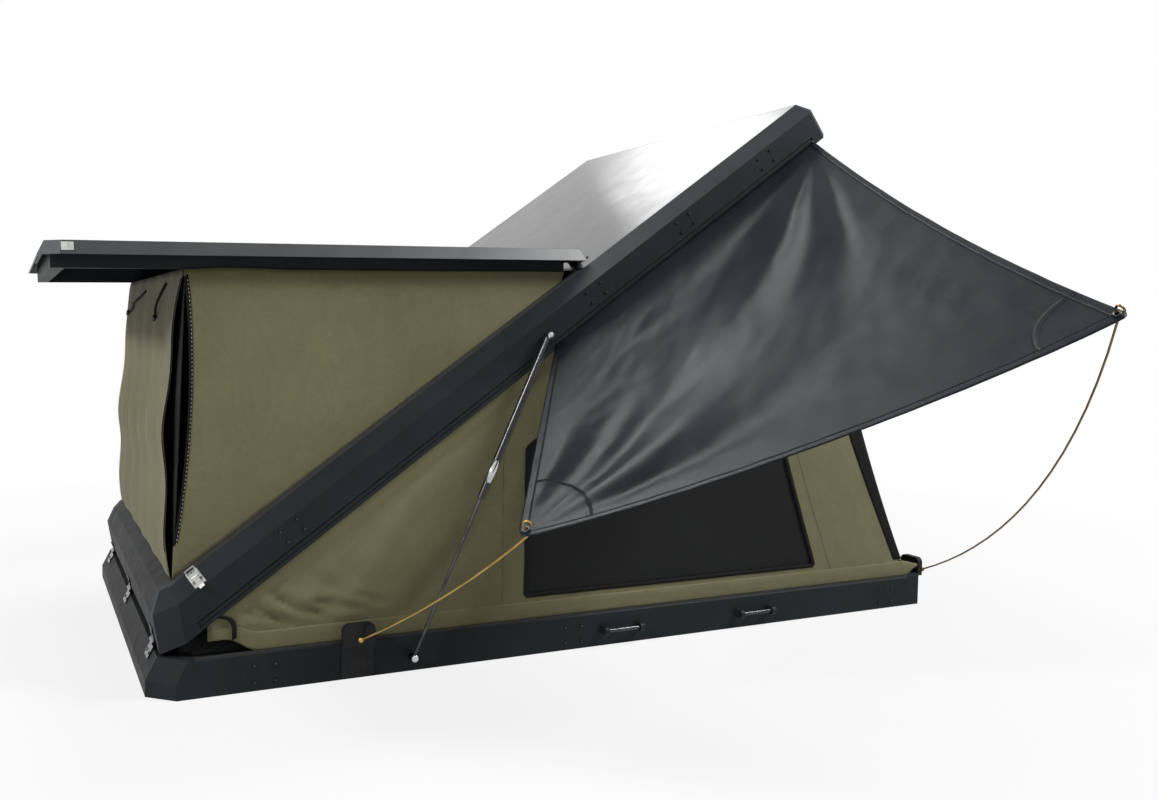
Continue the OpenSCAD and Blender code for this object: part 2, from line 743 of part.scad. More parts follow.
// Hinge leaf with its knuckles, in a frame whose Z runs up the sloping front
module hinge_leaf(up) {
    side = up ? 1 : -1;
    third = hinge_width / 3;
    bands = up ? [[-third / 2 + clearance, third / 2 - clearance]]
        : [[-hinge_width / 2, -third / 2], [third / 2, hinge_width / 2]];
    difference() {
        union() {
            translate([hinge_proud - leaf_thickness, -hinge_width / 2, up ? knuckle + 1 : -leaf_length])
                cube([leaf_thickness, hinge_width, leaf_length - knuckle - 1]);
            for (b = bands) {
                along_y(b[0], b[1]) circle(knuckle);
                translate([hinge_proud - leaf_thickness, b[0], up ? 0 : -knuckle - 2])
                    cube([leaf_thickness, b[1] - b[0], knuckle + 2]);
            }
        }
        if (up) rotate([90, 0, 0]) cylinder(h = 2 * hinge_width, r = pin_radius + running, center = true);
    }
    for (y = [-1, 1]) translate([hinge_proud - leaf_thickness, y * hinge_width * 0.32, side * leaf_length * 0.68])
        rotate([0, -90, 0]) cylinder(h = 2, r1 = 4, r2 = 3);
}

// Base leaves of the lid hinges with their pins
module hinge_base_leaves() {
    color("#121315") for (y = hinges) translate([hinge_x, y, hinge_z]) rotate([0, slope_angle, 0]) {
        hinge_leaf(false);
        rotate([90, 0, 0]) cylinder(h = hinge_width, r = pin_radius, center = true);
    }
}

module hinge_lid_leaves() {
    color("#121315") lid_pose() for (y = hinges)
        translate([hinge_x, y, hinge_z]) rotate([0, slope_angle, 0]) hinge_leaf(true);
}

// Frame of a toggle latch: X along its pivot, Y the way the lever points, Z off the face
module latch_on_chamfer() {
    lean = atan2(chamfer_height, chamfer_inset);
    translate([latch_x, -half_width + chamfer_inset / 2, ridge + chamfer_height / 2])
        rotate([lean, 0, 0]) rotate([0, 0, 180]) children();
}

// Frame of a rear latch on the lid's rear face, with its lever pointing up
module latch_on_rear(y) {
    tilt = atan(rear_slope);
    translate([half_length - rear_slope * face_height / 2, y, face_bottom + face_height / 2])
        rotate([0, -tilt, 0]) rotate([90, 0, 90]) children();
}

// Plate with two ears and a fixed pin
module latch_plate() {
    difference() {
        union() {
            translate([-latch_width / 2, -latch_length / 2, 0]) cube([latch_width, latch_length, 2]);
            for (s = [-1, 1]) translate([s * 8, 2, 0]) rotate([90, 0, 90]) translate([0, 0, -1]) linear_extrude(2) {
                translate([-4.5, 1]) square([9, latch_pivot - 1]);
                translate([0, latch_pivot]) circle(4.5);
            }
        }
        for (s = [-1, 1]) translate([0, s * (latch_length / 2 - 6), -1]) cylinder(h = 4, r = 2.2);
    }
    translate([-9, 2, latch_pivot]) rotate([0, 90, 0]) cylinder(h = 18, r = latch_pin);
}

// Lever on the plate's pin, with trunnions for the bail
module latch_lever() {
    end = latch_length / 2 + 6;
    rotate([90, 0, 90]) translate([0, 0, -6.2]) linear_extrude(12.4) difference() {
        union() {
            translate([2, latch_pivot]) circle(4.2);
            polygon([[2, latch_pivot - 1], [end, latch_pivot - 1], [end + 6, latch_pivot - 3.8],
                [end + 7.3, latch_pivot - 1.1], [end + 0.7, latch_pivot + 2], [2, latch_pivot + 2]]);
        }
        translate([2, latch_pivot]) circle(latch_pin + running);
    }
    translate([-12, 2 + latch_crank, latch_pivot + 0.5]) rotate([0, 90, 0]) cylinder(h = 24, r = 1.2);
}

// Wire bail on the lever's trunnions
module latch_bail() {
    reach = latch_length / 2 + 11;
    translate([0, 2 + latch_crank, latch_pivot + 0.5]) {
        for (s = [-1, 1]) translate([s * 10.8, 0, 0]) {
            difference() {
                rotate([0, 90, 0]) cylinder(h = 2, r = 2.6, center = true);
                rotate([0, 90, 0]) cylinder(h = 4, r = 1.2 + running, center = true);
            }
            translate([-1, -reach, -1]) cube([2, reach - 2, 2]);
        }
        translate([-11.8, -reach - 2, -1]) cube([23.6, 2.5, 2]);
    }
}

module hatch_latch_plates() {
    color("#b9bcbf") lid_pose() both_sides() latch_on_chamfer() latch_plate();
}

module rear_latch_plates() {
    color("#b9bcbf") lid_pose() for (s = [-1, 1]) latch_on_rear(s * rear_latch_offset) latch_plate();
}

module latch_lever_near() {
    color("#c5c8ca") lid_pose() latch_on_chamfer() latch_lever();
}

module latch_lever_far() {
    color("#c5c8ca") lid_pose() mirror([0, 1, 0]) latch_on_chamfer() latch_lever();
}

module latch_bail_near() {
    color("#8f9396") lid_pose() latch_on_chamfer() latch_bail();
}

module latch_bail_far() {
    color("#8f9396") lid_pose() mirror([0, 1, 0]) latch_on_chamfer() latch_bail();
}

// Swing hook of a rear latch, from the plate's pin down past the gap between lid and base
module rear_latch_hook() {
    half = 6.2;
    difference() {
        union() {
            translate([-half, 2, latch_pivot]) rotate([0, 90, 0]) cylinder(h = 2 * half, r = 4.2);
            translate([-half, -rear_hook, latch_pivot - 1]) cube([2 * half, rear_hook + 2, 3]);
            translate([-half, -rear_hook, latch_pivot - 4]) cube([2 * half, 3, 4]);
            translate([-half, -rear_hook + 3, latch_pivot + 2]) rotate([60, 0, 0]) translate([0, -9, -3])
                cube([2 * half, 9, 3]);
        }
        translate([-10, 2, latch_pivot]) rotate([0, 90, 0]) cylinder(h = 20, r = latch_pin + running);
    }
}

module rear_latch_near() {
    color("#c5c8ca") lid_pose() latch_on_rear(-rear_latch_offset) rear_latch_hook();
}

module rear_latch_far() {
    color("#c5c8ca") lid_pose() latch_on_rear(rear_latch_offset) rear_latch_hook();
}

// Plates under the rear latches
module rear_keepers() {
    color("#b9bcbf") for (s = [-1, 1]) translate([half_length, s * rear_latch_offset, base_height - 34]) {
        translate([0, -12, 0]) cube([2, 24, 26]);
        for (dz = [6, 20]) translate([2, 0, dz]) rotate([0, 90, 0]) cylinder(h = 1.6, r1 = 3.5, r2 = 2.6);
    }
}

// Side rail of the lid: keder lip, side face, chamfer and the flange under the top panel
module lid_side_rail() {
    y0 = near_face;
    lip = y0 + lip_setback;
    inner = -beam_seat;
    along_x(lid_corner_front, lid_corner_rear) difference() {
        polygon([[lip, lid_bottom], [lip, lid_bottom + 8], [lip + groove, lid_bottom + 8],
            [lip + groove, lid_bottom + 11], [lip, lid_bottom + 11], [lip, face_bottom - 3],
            [lip + groove, face_bottom - 3], [lip + groove, face_bottom], [y0, face_bottom],
            [y0, ridge], [-chamfer_edge, lid_top], [-chamfer_edge + 1, lid_top], [-chamfer_edge + 1, panel_seat],
            [-opening_half, panel_seat], [-opening_half, panel_seat - wall],
            [-chamfer_edge - 4, panel_seat - wall], [inner, ridge + 14], [inner, lid_bottom]]);
        polygon([[y0 + wall + 0.5, face_bottom + wall], [y0 + wall + 0.5, ridge - 2],
            [inner - wall, ridge + 11], [inner - wall, face_bottom + wall]]);
        translate([lip + groove + wall, lid_bottom + wall])
            square([inner - lip - groove - 2 * wall, lip_height - wall]);
    }
}

module lid_side_rail_near() {
    color("#2f3337") lid_pose() lid_side_rail();
}

module lid_side_rail_far() {
    color("#2f3337") lid_pose() mirror([0, 1, 0]) lid_side_rail();
}

// Sloping apron at the front of the lid, with the flange of the opening
module lid_front_apron() {
    color("#34373b") lid_pose() {
        along_y(-lid_corner_side, lid_corner_side)
            polygon([[front_x(apron_bottom), apron_bottom], [front_x(ridge), ridge], [front_edge, lid_top],
                [opening_front, lid_top], [opening_front, panel_seat], [front_edge + 1, panel_seat],
                [front_x(ridge) + wall + 1, ridge - 1], [front_x(apron_bottom) + wall + 1, apron_bottom]]);
        along_y(seat - opening_half, opening_half - seat) polygon([[lid_corner_front + seat, panel_seat],
            [opening_front, panel_seat], [opening_front, lid_top], [lid_corner_front + seat, lid_top]]);
    }
}

// Rear rail of the lid with its lip and the flange under the top panel
module lid_rear_rail() {
    x0 = half_length;
    reach = half_width - rear_casting;
    inner = x0 - rail_depth;
    color("#2f3337") lid_pose() along_y(-reach, reach) difference() {
        polygon([[x0 - 2, lid_bottom], [x0 - 2, face_bottom - 3], [x0 - 2 - groove, face_bottom - 3],
            [x0 - 2 - groove, face_bottom], [x0, face_bottom], [rear_ridge, ridge], [rear_edge, lid_top],
            [rear_edge - 1, lid_top], [rear_edge - 1, panel_seat], [inner - 6, panel_seat],
            [inner - 6, panel_seat - wall], [inner, panel_seat - wall], [inner, lid_bottom + wall],
            [x0 - rear_depth, lid_bottom + wall], [x0 - rear_depth, lid_bottom]]);
        polygon([[x0 - 2 - groove - wall, face_bottom + wall], [rear_ridge - wall - 2, ridge],
            [inner + wall, ridge], [inner + wall, face_bottom + wall]]);
    }
}

// Corner castings of the lid with their facets
module lid_corners() {
    color("#3a3d41") lid_pose() intersection() {
        difference() {
            lid_block(0);
            lid_block(wall);
        }
        both_sides() {
            translate([-half_length - 1, -half_width - 1, lid_bottom - 1])
                cube([lid_corner_front + half_length + 1, half_width - lid_corner_side + 1, lid_top]);
            translate([lid_corner_rear, -half_width - 1, lid_bottom - 1])
                cube([rear_casting + 1, rear_casting + 1, lid_top]);
        }
    }
}

// Fixed gloss panel over the rear of the lid
module lid_top_panel() {
    start = hinge_rail + wall;
    side = chamfer_edge - 1 - seat;
    back = half_width - rear_casting - seat;
    color("#5a5d60") lid_pose() translate([0, 0, panel_seat]) linear_extrude(wall) {
        translate([start, -side]) square([lid_corner_rear - seat - start, 2 * side]);
        translate([start, -back]) square([rear_edge - 1 - seat - start, 2 * back]);
    }
}

// Cross beams of the lid and the rail that carries the hatch hinges
module lid_cross_beams() {
    top = panel_seat - wall;
    rail_width = 54;
    reach = beam_seat - seat;
    shoulder = chamfer_edge + 4 - seat;
    profile = [[-reach, top - lid_beam_height], [-reach, ridge + 14 - seat], [-shoulder, top], [shoulder, top],
        [reach, ridge + 14 - seat], [reach, top - lid_beam_height]];
    low = inner_bottom - inner_clearance;
    color("#3b3e42") lid_pose() {
        for (x = lid_beams) along_x(hinge_x + x - bolt_pitch / 2, hinge_x + x + bolt_pitch / 2) polygon(profile);
        along_x(hinge_rail, hinge_rail + rail_width) polygon(profile);
        translate([hinge_rail - seat - bolt_pitch, -reach, low - lid_beam_height])
            cube([bolt_pitch, 2 * reach, lid_beam_height]);
    }
}

// Strips round the sides of the opening, level with the top panel
module lid_opening_trim() {
    color("#1a1c1e") lid_pose() both_sides()
        translate([lid_corner_front, -chamfer_edge + 1 + seat, panel_seat])
            cube([hinge_rail + wall - lid_corner_front - seat, flange_width - 1 - seat, wall]);
}

module lid_bolts() {
    color("#17191b") lid_pose() both_sides() {
        for (x = lid_bolt_rows) translate([hinge_x + x, near_face, (face_bottom + ridge) / 2 + 2])
            bolt_group(lid_bolt_rise);
        translate(strut_head_closed) translate([0, near_face, 0]) rotate([90, 0, 0]) {
            cylinder(h = strut_standoff, r = 5.5);
            cylinder(h = strut_standoff + clearance + 2 * barrel_radius - 1, r = 3.5);
        }
        translate([hatch_strut_foot_closed[0], -beam_seat, hatch_strut_foot_closed[2]]) rotate([-90, 0, 0]) {
            cylinder(h = beam_seat - hatch_strut_y - hatch_boss - 1 - clearance, r = 5);
            cylinder(h = beam_seat - hatch_strut_y + hatch_boss, r = 3);
        }
    }
}

// Lid side of the hatch hinges, with their pins
module hatch_hinge_lid_leaves() {
    color("#121315") lid_pose() for (y = hinges) translate([hatch_x, y, 0]) {
        difference() {
            union() {
                translate([-hatch_knuckle + 1, -hinge_width / 2, lid_top]) cube([leaf_length, hinge_width, 2.5]);
                for (s = [-1, 1]) along_y(s * hinge_width / 3 - hinge_width / 6, s * hinge_width / 3 + hinge_width / 6) {
                    translate([0, hatch_z]) circle(hatch_knuckle);
                    translate([-hatch_knuckle + 1, lid_top + 1]) square([2 * hatch_knuckle - 2, 4]);
                }
            }
            translate([-hatch_knuckle - 1, -hinge_width / 6 - clearance, lid_top + 1])
                cube([2 * hatch_knuckle + 2, hinge_width / 3 + 2 * clearance, 20]);
        }
        translate([0, 0, hatch_z]) rotate([90, 0, 0]) cylinder(h = hinge_width, r = pin_radius, center = true);
    }
}

// Hatch side of the hatch hinges
module hatch_hinge_leaves() {
    band = hinge_width / 6 - clearance;
    lean = atan2(hatch_lean, hatch_height);
    color("#121315") hatch_pose() for (y = hinges) translate([0, y, 0]) difference() {
        union() {
            translate([hatch_x, 0, 0]) along_y(-band, band) translate([0, hatch_z]) circle(hatch_knuckle);
            along_y(-band, band) polygon([[hatch_rear, hatch_bottom], [hatch_x - 1, hatch_z - 3],
                [hatch_x - 1, hatch_z + 3], [hatch_rear - 16 * tan(lean) + 2.5, hatch_bottom + 16],
                [hatch_rear - 16 * tan(lean), hatch_bottom + 16]]);
            along_y(-hinge_width / 2, hinge_width / 2) polygon([
                [hatch_rear - 8 * tan(lean), hatch_bottom + 8], [hatch_rear - 28 * tan(lean), hatch_bottom + 28],
                [hatch_rear - 28 * tan(lean) + 2.5, hatch_bottom + 28],
                [hatch_rear - 8 * tan(lean) + 2.5, hatch_bottom + 8]]);
        }
        translate([hatch_x, 0, hatch_z]) rotate([90, 0, 0])
            cylinder(h = 2 * hinge_width, r = pin_radius + running, center = true);
    }
}

// Rails and front corners of the hatch, cut from one leaning outline
module hatch_rails() {
    color("#3a3d41") hatch_pose() {
        intersection() {
            difference() {
                hatch_block(0);
                translate([hatch_front + hatch_rail, -chamfer_edge + hatch_rail, hatch_bottom - 1])
                    cube([hatch_length - 2 * hatch_rail, 2 * (chamfer_edge - hatch_rail), 2 * hatch_height]);
                hatch_block(wall);
            }
            translate([hatch_front - 1, -half_width, hatch_bottom])
                cube([hatch_length + 2, base_width, hatch_height + 1]);
        }
    }
}

// Skin of the hatch, held under the rails' top flanges
module hatch_panel() {
    lap = hatch_rail - 14;
    color("#3a3d41") hatch_pose() translate([hatch_front + lap, -chamfer_edge + lap, hatch_top - wall - hatch_skin])
        cube([hatch_length - 2 * lap, 2 * (chamfer_edge - lap), hatch_skin]);
}

// Tubes under the hatch that dip into the lid's opening
module hatch_inner_frame() {
    top = hatch_top - wall - hatch_skin;
    color("#26292c") hatch_pose() {
        both_sides() translate([inner_front, -inner_half, inner_bottom])
            cube([inner_rear - inner_front, inner_width, top - inner_bottom]);
        for (x = [inner_front, inner_rear - inner_width])
            translate([x, -inner_half + inner_width + seat, inner_bottom])
                cube([inner_width, 2 * (inner_half - inner_width - seat), top - inner_bottom]);
        both_sides() translate([hatch_strut_head_closed[0], -inner_half + inner_width, hatch_strut_head_closed[2]])
            rotate([-90, 0, 0])
                cylinder(h = inner_half - inner_width - hatch_strut_y - hatch_boss - clearance, r = 5);
    }
}

// Keeper plates for the hatch latches
module hatch_keepers() {
    lean = atan2(hatch_lean, hatch_height);
    color("#b9bcbf") hatch_pose() both_sides()
        translate([latch_x, -chamfer_edge, hatch_bottom]) rotate([-lean, 0, 0]) {
            translate([-12, -2, 8]) cube([24, 2, hatch_height - 10]);
            for (dx = [-5, 5]) translate([dx, -2, hatch_height - 11]) button_head(3, 1.4);
        }
}

// Barrel of a gas strut from its upper eye at the origin, along +X
module strut_barrel(length, r, shaft, eye) {
    rotate([0, 90, 0]) difference() {
        cylinder(h = length, r = r);
        translate([0, 0, 22]) cylinder(h = length - 40, r = r - 2);
        translate([0, 0, length / 2]) cylinder(h = length, r = shaft + running);
        rotate([90, 0, 0]) cylinder(h = 4 * r, r = eye + running, center = true);
    }
    difference() {
        rotate([90, 0, 0]) cylinder(h = 2 * r - 1, r = r + 1, center = true);
        rotate([90, 0, 0]) cylinder(h = 4 * r, r = eye + running, center = true);
    }
}

// Rod of a gas strut from its lower end at the origin, along -X, with its piston
module strut_rod(length, r, bore, boss) {
    rotate([0, -90, 0]) {
        cylinder(h = length, r = r);
        translate([0, 0, length - 14]) cylinder(h = 8, r = bore - running);
    }
    rotate([90, 0, 0]) cylinder(h = 2 * boss, r = boss, center = true);
}

// Lid struts: barrels on the lid's studs
module strut_barrels() {
    color("#0f1011") both_sides() translate(strut_head) translate([0, -strut_y, 0])
        rotate([0, 180 - strut_angle, 0])
            strut_barrel(barrel_length, barrel_radius, rod_radius, 3.5);
}

// Lid struts: rods down to the base's studs
module strut_rods() {
    color("#1a1b1c") both_sides() translate(strut_foot) translate([0, -strut_y, 0])
        rotate([0, 180 - strut_angle, 0])
            strut_rod(strut_length - barrel_length + 45, rod_radius, barrel_radius - 2, barrel_radius);
}

module hatch_strut_barrels() {
    color("#0f1011") both_sides() translate(hatch_strut_foot) translate([0, -hatch_strut_y, 0])
        rotate([0, -hatch_strut_angle, 0]) strut_barrel(hatch_barrel, hatch_boss + 1, 3.5, 3);
}

module hatch_strut_rods() {
    color("#1a1b1c") both_sides() translate(hatch_strut_head) translate([0, -hatch_strut_y, 0])
        rotate([0, -hatch_strut_angle, 0]) strut_rod(hatch_strut_length - hatch_barrel + 45, 3.5, hatch_boss - 1, hatch_boss);
}

// Outline of a lower side wall in (X, Z)
module lower_wall_outline() {
    polygon([[wall_start, wall_foot], [wall_end, wall_foot], flat_xz(wall_head), [wall_start, lid_line(wall_start)]]);
}

// Outline of the door window in (X, Z), its rear edge along the rear wall's lean
module window_outline(grow = 0) {
    band = 80;
    lean = (wall_end - wall_head[0]) / (wall_head[2] - wall_foot);
    x0 = window_front - half_length - grow;
    x1 = window_rear - half_length + grow;
    z0 = window_sill - grow;
    top = (lid_line(x1 + lean * z0) - band + grow) / (1 + lean * tan(lid_open));
    polygon([[x0, z0], [x1, z0], [x1 - lean * (top - z0), top], [x0, lid_line(x0) - band + grow]]);
}

module lower_wall_near() {
    color("#6f6b50") along_y(-lower_wall - cloth, -lower_wall) difference() {
        lower_wall_outline();
        window_outline();
    }
}

module lower_wall_far() {
    color("#6f6b50") along_y(lower_wall, lower_wall + cloth) lower_wall_outline();
}

// Rear wall between the side walls, leaning with their rear edges
module lower_wall_rear() {
    reach = lower_wall - clearance;
    color("#66634a") along_y(-reach, reach) polygon([[wall_end - cloth, wall_foot], [wall_end, wall_foot],
        flat_xz(wall_head), [wall_head[0] - cloth, wall_head[2] - cloth * tan(lid_open)]]);
}

// Net of the door, sewn inside the window
module door_mesh() {
    color("#1d1e1c") along_y(clearance - lower_wall, clearance - lower_wall + 1) window_outline(20);
}

// Skirt that hangs over the base, with a beak at its rear end
module canvas_skirt() {
    tip = half_length - wall_inset;
    outer = lower_wall + cloth + 0.3;
    color("#7a7659") {
        both_sides() along_y(-outer - 1.6, -outer) polygon([[wall_start, wall_foot], [wall_end + 8, wall_foot],
            [tip, wall_foot + 26], [tip, wall_foot + 34], [wall_end - 6, wall_foot + skirt_height],
            [wall_start, wall_foot + skirt_height]]);
        along_y(clearance - lower_wall, lower_wall - clearance) polygon([[wall_end + 0.4, wall_foot],
            [wall_end + 2, wall_foot], [wall_end + 2, wall_foot + skirt_height],
            [wall_end + 0.4, wall_foot + skirt_height]]);
    }
}

// Door flap that is held out as an awning: drawn flat, with a sag and folds from its front corner
module awning() {
    rows = 18;
    cols = 26;
    function place(u, v) = (1 - v) * (seam_front + u * (seam_rear - seam_front))
        + v * (corner_front + u * (corner_rear - corner_front));
    function fade(u, v) = 16 * u * (1 - u) * v * (1 - v);
    function billow(u, v) = -34 * fade(u, v) + 9 * fade(u, v) * sin(9 * atan2(1.02 - v, u + 0.05) + 40);
    function grid(off) = [for (i = [0 : rows]) [for (j = [0 : cols])
        place(j / cols, i / rows) + (billow(j / cols, i / rows) + off) * flap_up]];
    color("#4b4d4f") difference() {
        sheet(grid(cloth / 2), grid(-cloth / 2));
        for (p = [eyelet_front, eyelet_rear]) translate(p) aim(flap_up, seam) rotate([0, 90, 0])
            cylinder(h = 20, r = grommet_hole + 3, center = true);
    }
}

// Eyelets that the spring rods go through
module awning_grommets() {
    flange = 1.2;
    stack = cloth / 2 + clearance;
    color("#9a9ca0") for (p = [eyelet_front, eyelet_rear]) translate(p) aim(flap_up, seam) rotate([0, 90, 0])
        rotate_extrude() {
            translate([grommet_hole, -stack - flange]) square([7, flange]);
            translate([grommet_hole, -stack - flange]) square([2.4, 2 * (stack + flange)]);
            translate([grommet_hole, stack]) square([7, flange]);
        }
}

// Upper side wall between the lid's opening and the hatch
module upper_wall(y) {
    rear_low = [inner_rear - inner_width, lid_top + clearance];
    lid_pose() along_y(y, y + cloth) polygon([[front_foot[0], front_foot[2]], rear_low,
        flat_xz(under_hatch(inner_rear - 2)), flat_xz(front_head)]);
}

module upper_wall_near() {
    color("#6f6b50") upper_wall(-upper_wall - cloth);
}

module upper_wall_far() {
    color("#6f6b50") upper_wall(upper_wall);
}

// Front flap that hangs in folds, its near edge drawn back from the zip
module upper_wall_front() {
    rows = 16;
    cols = 30;
    half = upper_wall - clearance;
    function edge(v) = -half + zip_gap * sin(180 * v);
    function place(u, v) = front_foot + v * (front_head - front_foot) + [0, edge(v) + u * (half - edge(v)), 0];
    function fold(u, v) = fold_depth * sin(180 * v) * (1.2 + sin(360 * flap_folds * u));
    function grid(off) = [for (i = [0 : rows]) [for (j = [0 : cols])
        place(j / cols, i / rows) + [off - fold(j / cols, i / rows), 0, 0]]];
    color("#827d64") lid_pose() sheet(grid(-cloth), grid(0));
}

// Net behind the front flap
module upper_mesh_front() {
    half = upper_wall - clearance;
    step = cloth + 1;
    back = [cos(hatch_open), 0, -sin(hatch_open)];
    color("#1d1e1c") lid_pose() along_y(-half, half) polygon([
        [front_foot[0] + step, front_foot[2]], [front_foot[0] + step + 1.5, front_foot[2]],
        flat_xz(front_head + (step + 1.5) * back), flat_xz(front_head + step * back)]);
}

base_side_rail_near();
base_side_rail_far();
base_front_rail();
base_rear_rail();
base_corners();
floor_panel();
floor_beams();
mounting_track_near();
mounting_track_far();
base_bolts();
base_seal();
mattress();
ladder_bars();
ladder_brackets();
rod_holders();
hinge_base_leaves();
rear_keepers();
lower_wall_near();
lower_wall_far();
lower_wall_rear();
door_mesh();
canvas_skirt();
clamp_knob_front();
clamp_knob_rear();
awning_rod_front();
awning_rod_rear();
lid_side_rail_near();
lid_side_rail_far();
lid_front_apron();
lid_rear_rail();
lid_corners();
lid_top_panel();
lid_cross_beams();
lid_opening_trim();
lid_bolts();
hinge_lid_leaves();
hatch_hinge_lid_leaves();
hatch_latch_plates();
rear_latch_plates();
latch_lever_near();
latch_lever_far();
latch_bail_near();
latch_bail_far();
rear_latch_near();
rear_latch_far();
awning();
awning_grommets();
upper_wall_near();
upper_wall_far();
upper_wall_front();
upper_mesh_front();
hatch_rails();
hatch_panel();
hatch_inner_frame();
hatch_hinge_leaves();
hatch_keepers();
strut_barrels();
strut_rods();
hatch_strut_barrels();
hatch_strut_rods();
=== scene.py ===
import bpy
import bmesh
import json
from math import sin, cos, tan, atan2, radians, pi, exp, hypot
from mathutils import Vector, Matrix, noise


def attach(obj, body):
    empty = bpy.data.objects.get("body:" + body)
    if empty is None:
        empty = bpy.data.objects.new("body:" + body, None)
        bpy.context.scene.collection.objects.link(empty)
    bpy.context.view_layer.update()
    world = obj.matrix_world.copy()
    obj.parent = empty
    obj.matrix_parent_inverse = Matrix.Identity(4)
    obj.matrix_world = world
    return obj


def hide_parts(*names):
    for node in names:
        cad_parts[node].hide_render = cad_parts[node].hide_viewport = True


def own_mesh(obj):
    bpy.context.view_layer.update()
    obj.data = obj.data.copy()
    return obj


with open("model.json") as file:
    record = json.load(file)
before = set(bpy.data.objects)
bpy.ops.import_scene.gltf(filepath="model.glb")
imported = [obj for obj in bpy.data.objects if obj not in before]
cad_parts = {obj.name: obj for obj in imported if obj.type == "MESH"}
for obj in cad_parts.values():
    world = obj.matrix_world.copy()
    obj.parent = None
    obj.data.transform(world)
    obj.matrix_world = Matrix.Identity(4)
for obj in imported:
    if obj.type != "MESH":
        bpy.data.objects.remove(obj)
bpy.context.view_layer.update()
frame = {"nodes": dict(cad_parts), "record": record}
scene = bpy.context.scene
scene.view_settings.view_transform = "Standard"
print("frame loaded:", len(frame["nodes"]), "nodes")

# where the lid and the hatch stand, open as in the photograph (metres, from the same values as the solids)
shell = {
    "hinge": (-1.0723, 0.097),      # x, z of the lid's hinge pin
    "lidTurn": radians(36),         # lid open
    "hatchPin": (0.299705, 0.204),  # x, z of the hatch's pin on the closed lid
    "hatchTurn": radians(34.4),     # hatch open on the lid
    "hatchFrame": 0.1746,           # underside of the hatch's frame, hatch closed
    "lidUnder": 0.0886,             # canvas ends here under the closed lid
    "railTop": 0.0864,              # canvas foot on the base
}


# from a place on the closed lid to the same place on the open one
def lidAt(x, y, z):
    hx, hz = shell["hinge"]
    c, s = cos(shell["lidTurn"]), sin(shell["lidTurn"])
    return Vector((hx + (x - hx) * c - (z - hz) * s, y, hz + (x - hx) * s + (z - hz) * c))


# height of the open lid's lower edge
def lidLine(x):
    hx, hz = shell["hinge"]
    return hz + (x - hx) * tan(shell["lidTurn"]) + (shell["lidUnder"] - hz) / cos(shell["lidTurn"])


lidNormal = Vector((-sin(shell["lidTurn"]), 0, cos(shell["lidTurn"])))
lidAlong = Vector((cos(shell["lidTurn"]), 0, sin(shell["lidTurn"])))


def smoothStep(a, b, x):
    t = min(1.0, max(0.0, (x - a) / (b - a)))
    return t * t * (3 - 2 * t)


def between(a, b, t):
    return Vector(a) * (1 - t) + Vector(b) * t


# camera at the photograph's place
lookout = {"at": (-1.3476, -3.1746, 0.8257), "yaw": 27.05, "pitch": -3.89, "roll": 0.91, "lens": 34.62}


def placeCamera():
    yaw, pitch, roll = (radians(lookout[k]) for k in ("yaw", "pitch", "roll"))
    ahead = Vector((sin(yaw) * cos(pitch), cos(yaw) * cos(pitch), sin(pitch)))
    right = Vector((cos(yaw), -sin(yaw), 0))
    up = right.cross(ahead)
    right, up = right * cos(roll) + up * sin(roll), up * cos(roll) - right * sin(roll)
    data = bpy.data.cameras.new("photoCamera")
    data.sensor_width = 36
    data.lens = lookout["lens"]
    data.clip_end = 200
    cam = bpy.data.objects.new("photoCamera", data)
    scene.collection.objects.link(cam)
    turn = Matrix((right, up, -ahead)).transposed().to_4x4()
    cam.matrix_world = Matrix.Translation(lookout["at"]) @ turn
    scene.camera = cam


placeCamera()


# node helpers for the finishes
def rgb(r, g, b):
    return tuple(((c / 255 + 0.055) / 1.055) ** 2.4 if c > 10 else c / 3294.6 for c in (r, g, b)) + (1.0,)


def newFinish(name):
    mat = bpy.data.materials.new(name)
    mat.use_nodes = True
    return mat, mat.node_tree, mat.node_tree.nodes["Principled BSDF"]


def addNode(tree, kind, settings=None, ins=(), **plugs):
    node = tree.nodes.new("ShaderNode" + kind)
    for key, value in (settings or {}).items():
        setattr(node, key, value)
    pairs = [(node.inputs[i], v) for i, v in enumerate(ins)]
    pairs += [(node.inputs[k.replace("_", " ")], v) for k, v in plugs.items()]
    for socket, value in pairs:
        if isinstance(value, bpy.types.NodeSocket):
            tree.links.new(value, socket)
        elif value is not None:
            socket.default_value = value
    return node


def addRamp(tree, fac, *stops):
    node = addNode(tree, "ValToRGB", ins=[fac])
    marks = node.color_ramp.elements
    while len(marks) < len(stops):
        marks.new(0.5)
    for mark, (place, colour) in zip(marks, stops):
        mark.position = place
        mark.color = colour
    return node.outputs[0]


def objectCoords(tree, scale=(1, 1, 1)):
    place = addNode(tree, "TexCoord").outputs["Object"]
    if scale == (1, 1, 1):
        return place
    return addNode(tree, "Mapping", Vector=place, Scale=scale).outputs[0]


def cloudNoise(tree, vector, scale, detail=3.0, rough=0.55):
    return addNode(tree, "TexNoise", Vector=vector, Scale=scale, Detail=detail, Roughness=rough).outputs[0]


def spread(tree, value, low, high):
    return addNode(tree, "MapRange", ins=[value, 0.3, 0.7, low, high]).outputs[0]


def addBump(tree, shader, height, strength, depth, under=None):
    node = addNode(tree, "Bump", Height=height, Strength=strength, Distance=depth)
    if under is not None:
        tree.links.new(under, node.inputs["Normal"])
    tree.links.new(node.outputs[0], shader.inputs["Normal"])
    return node.outputs[0]


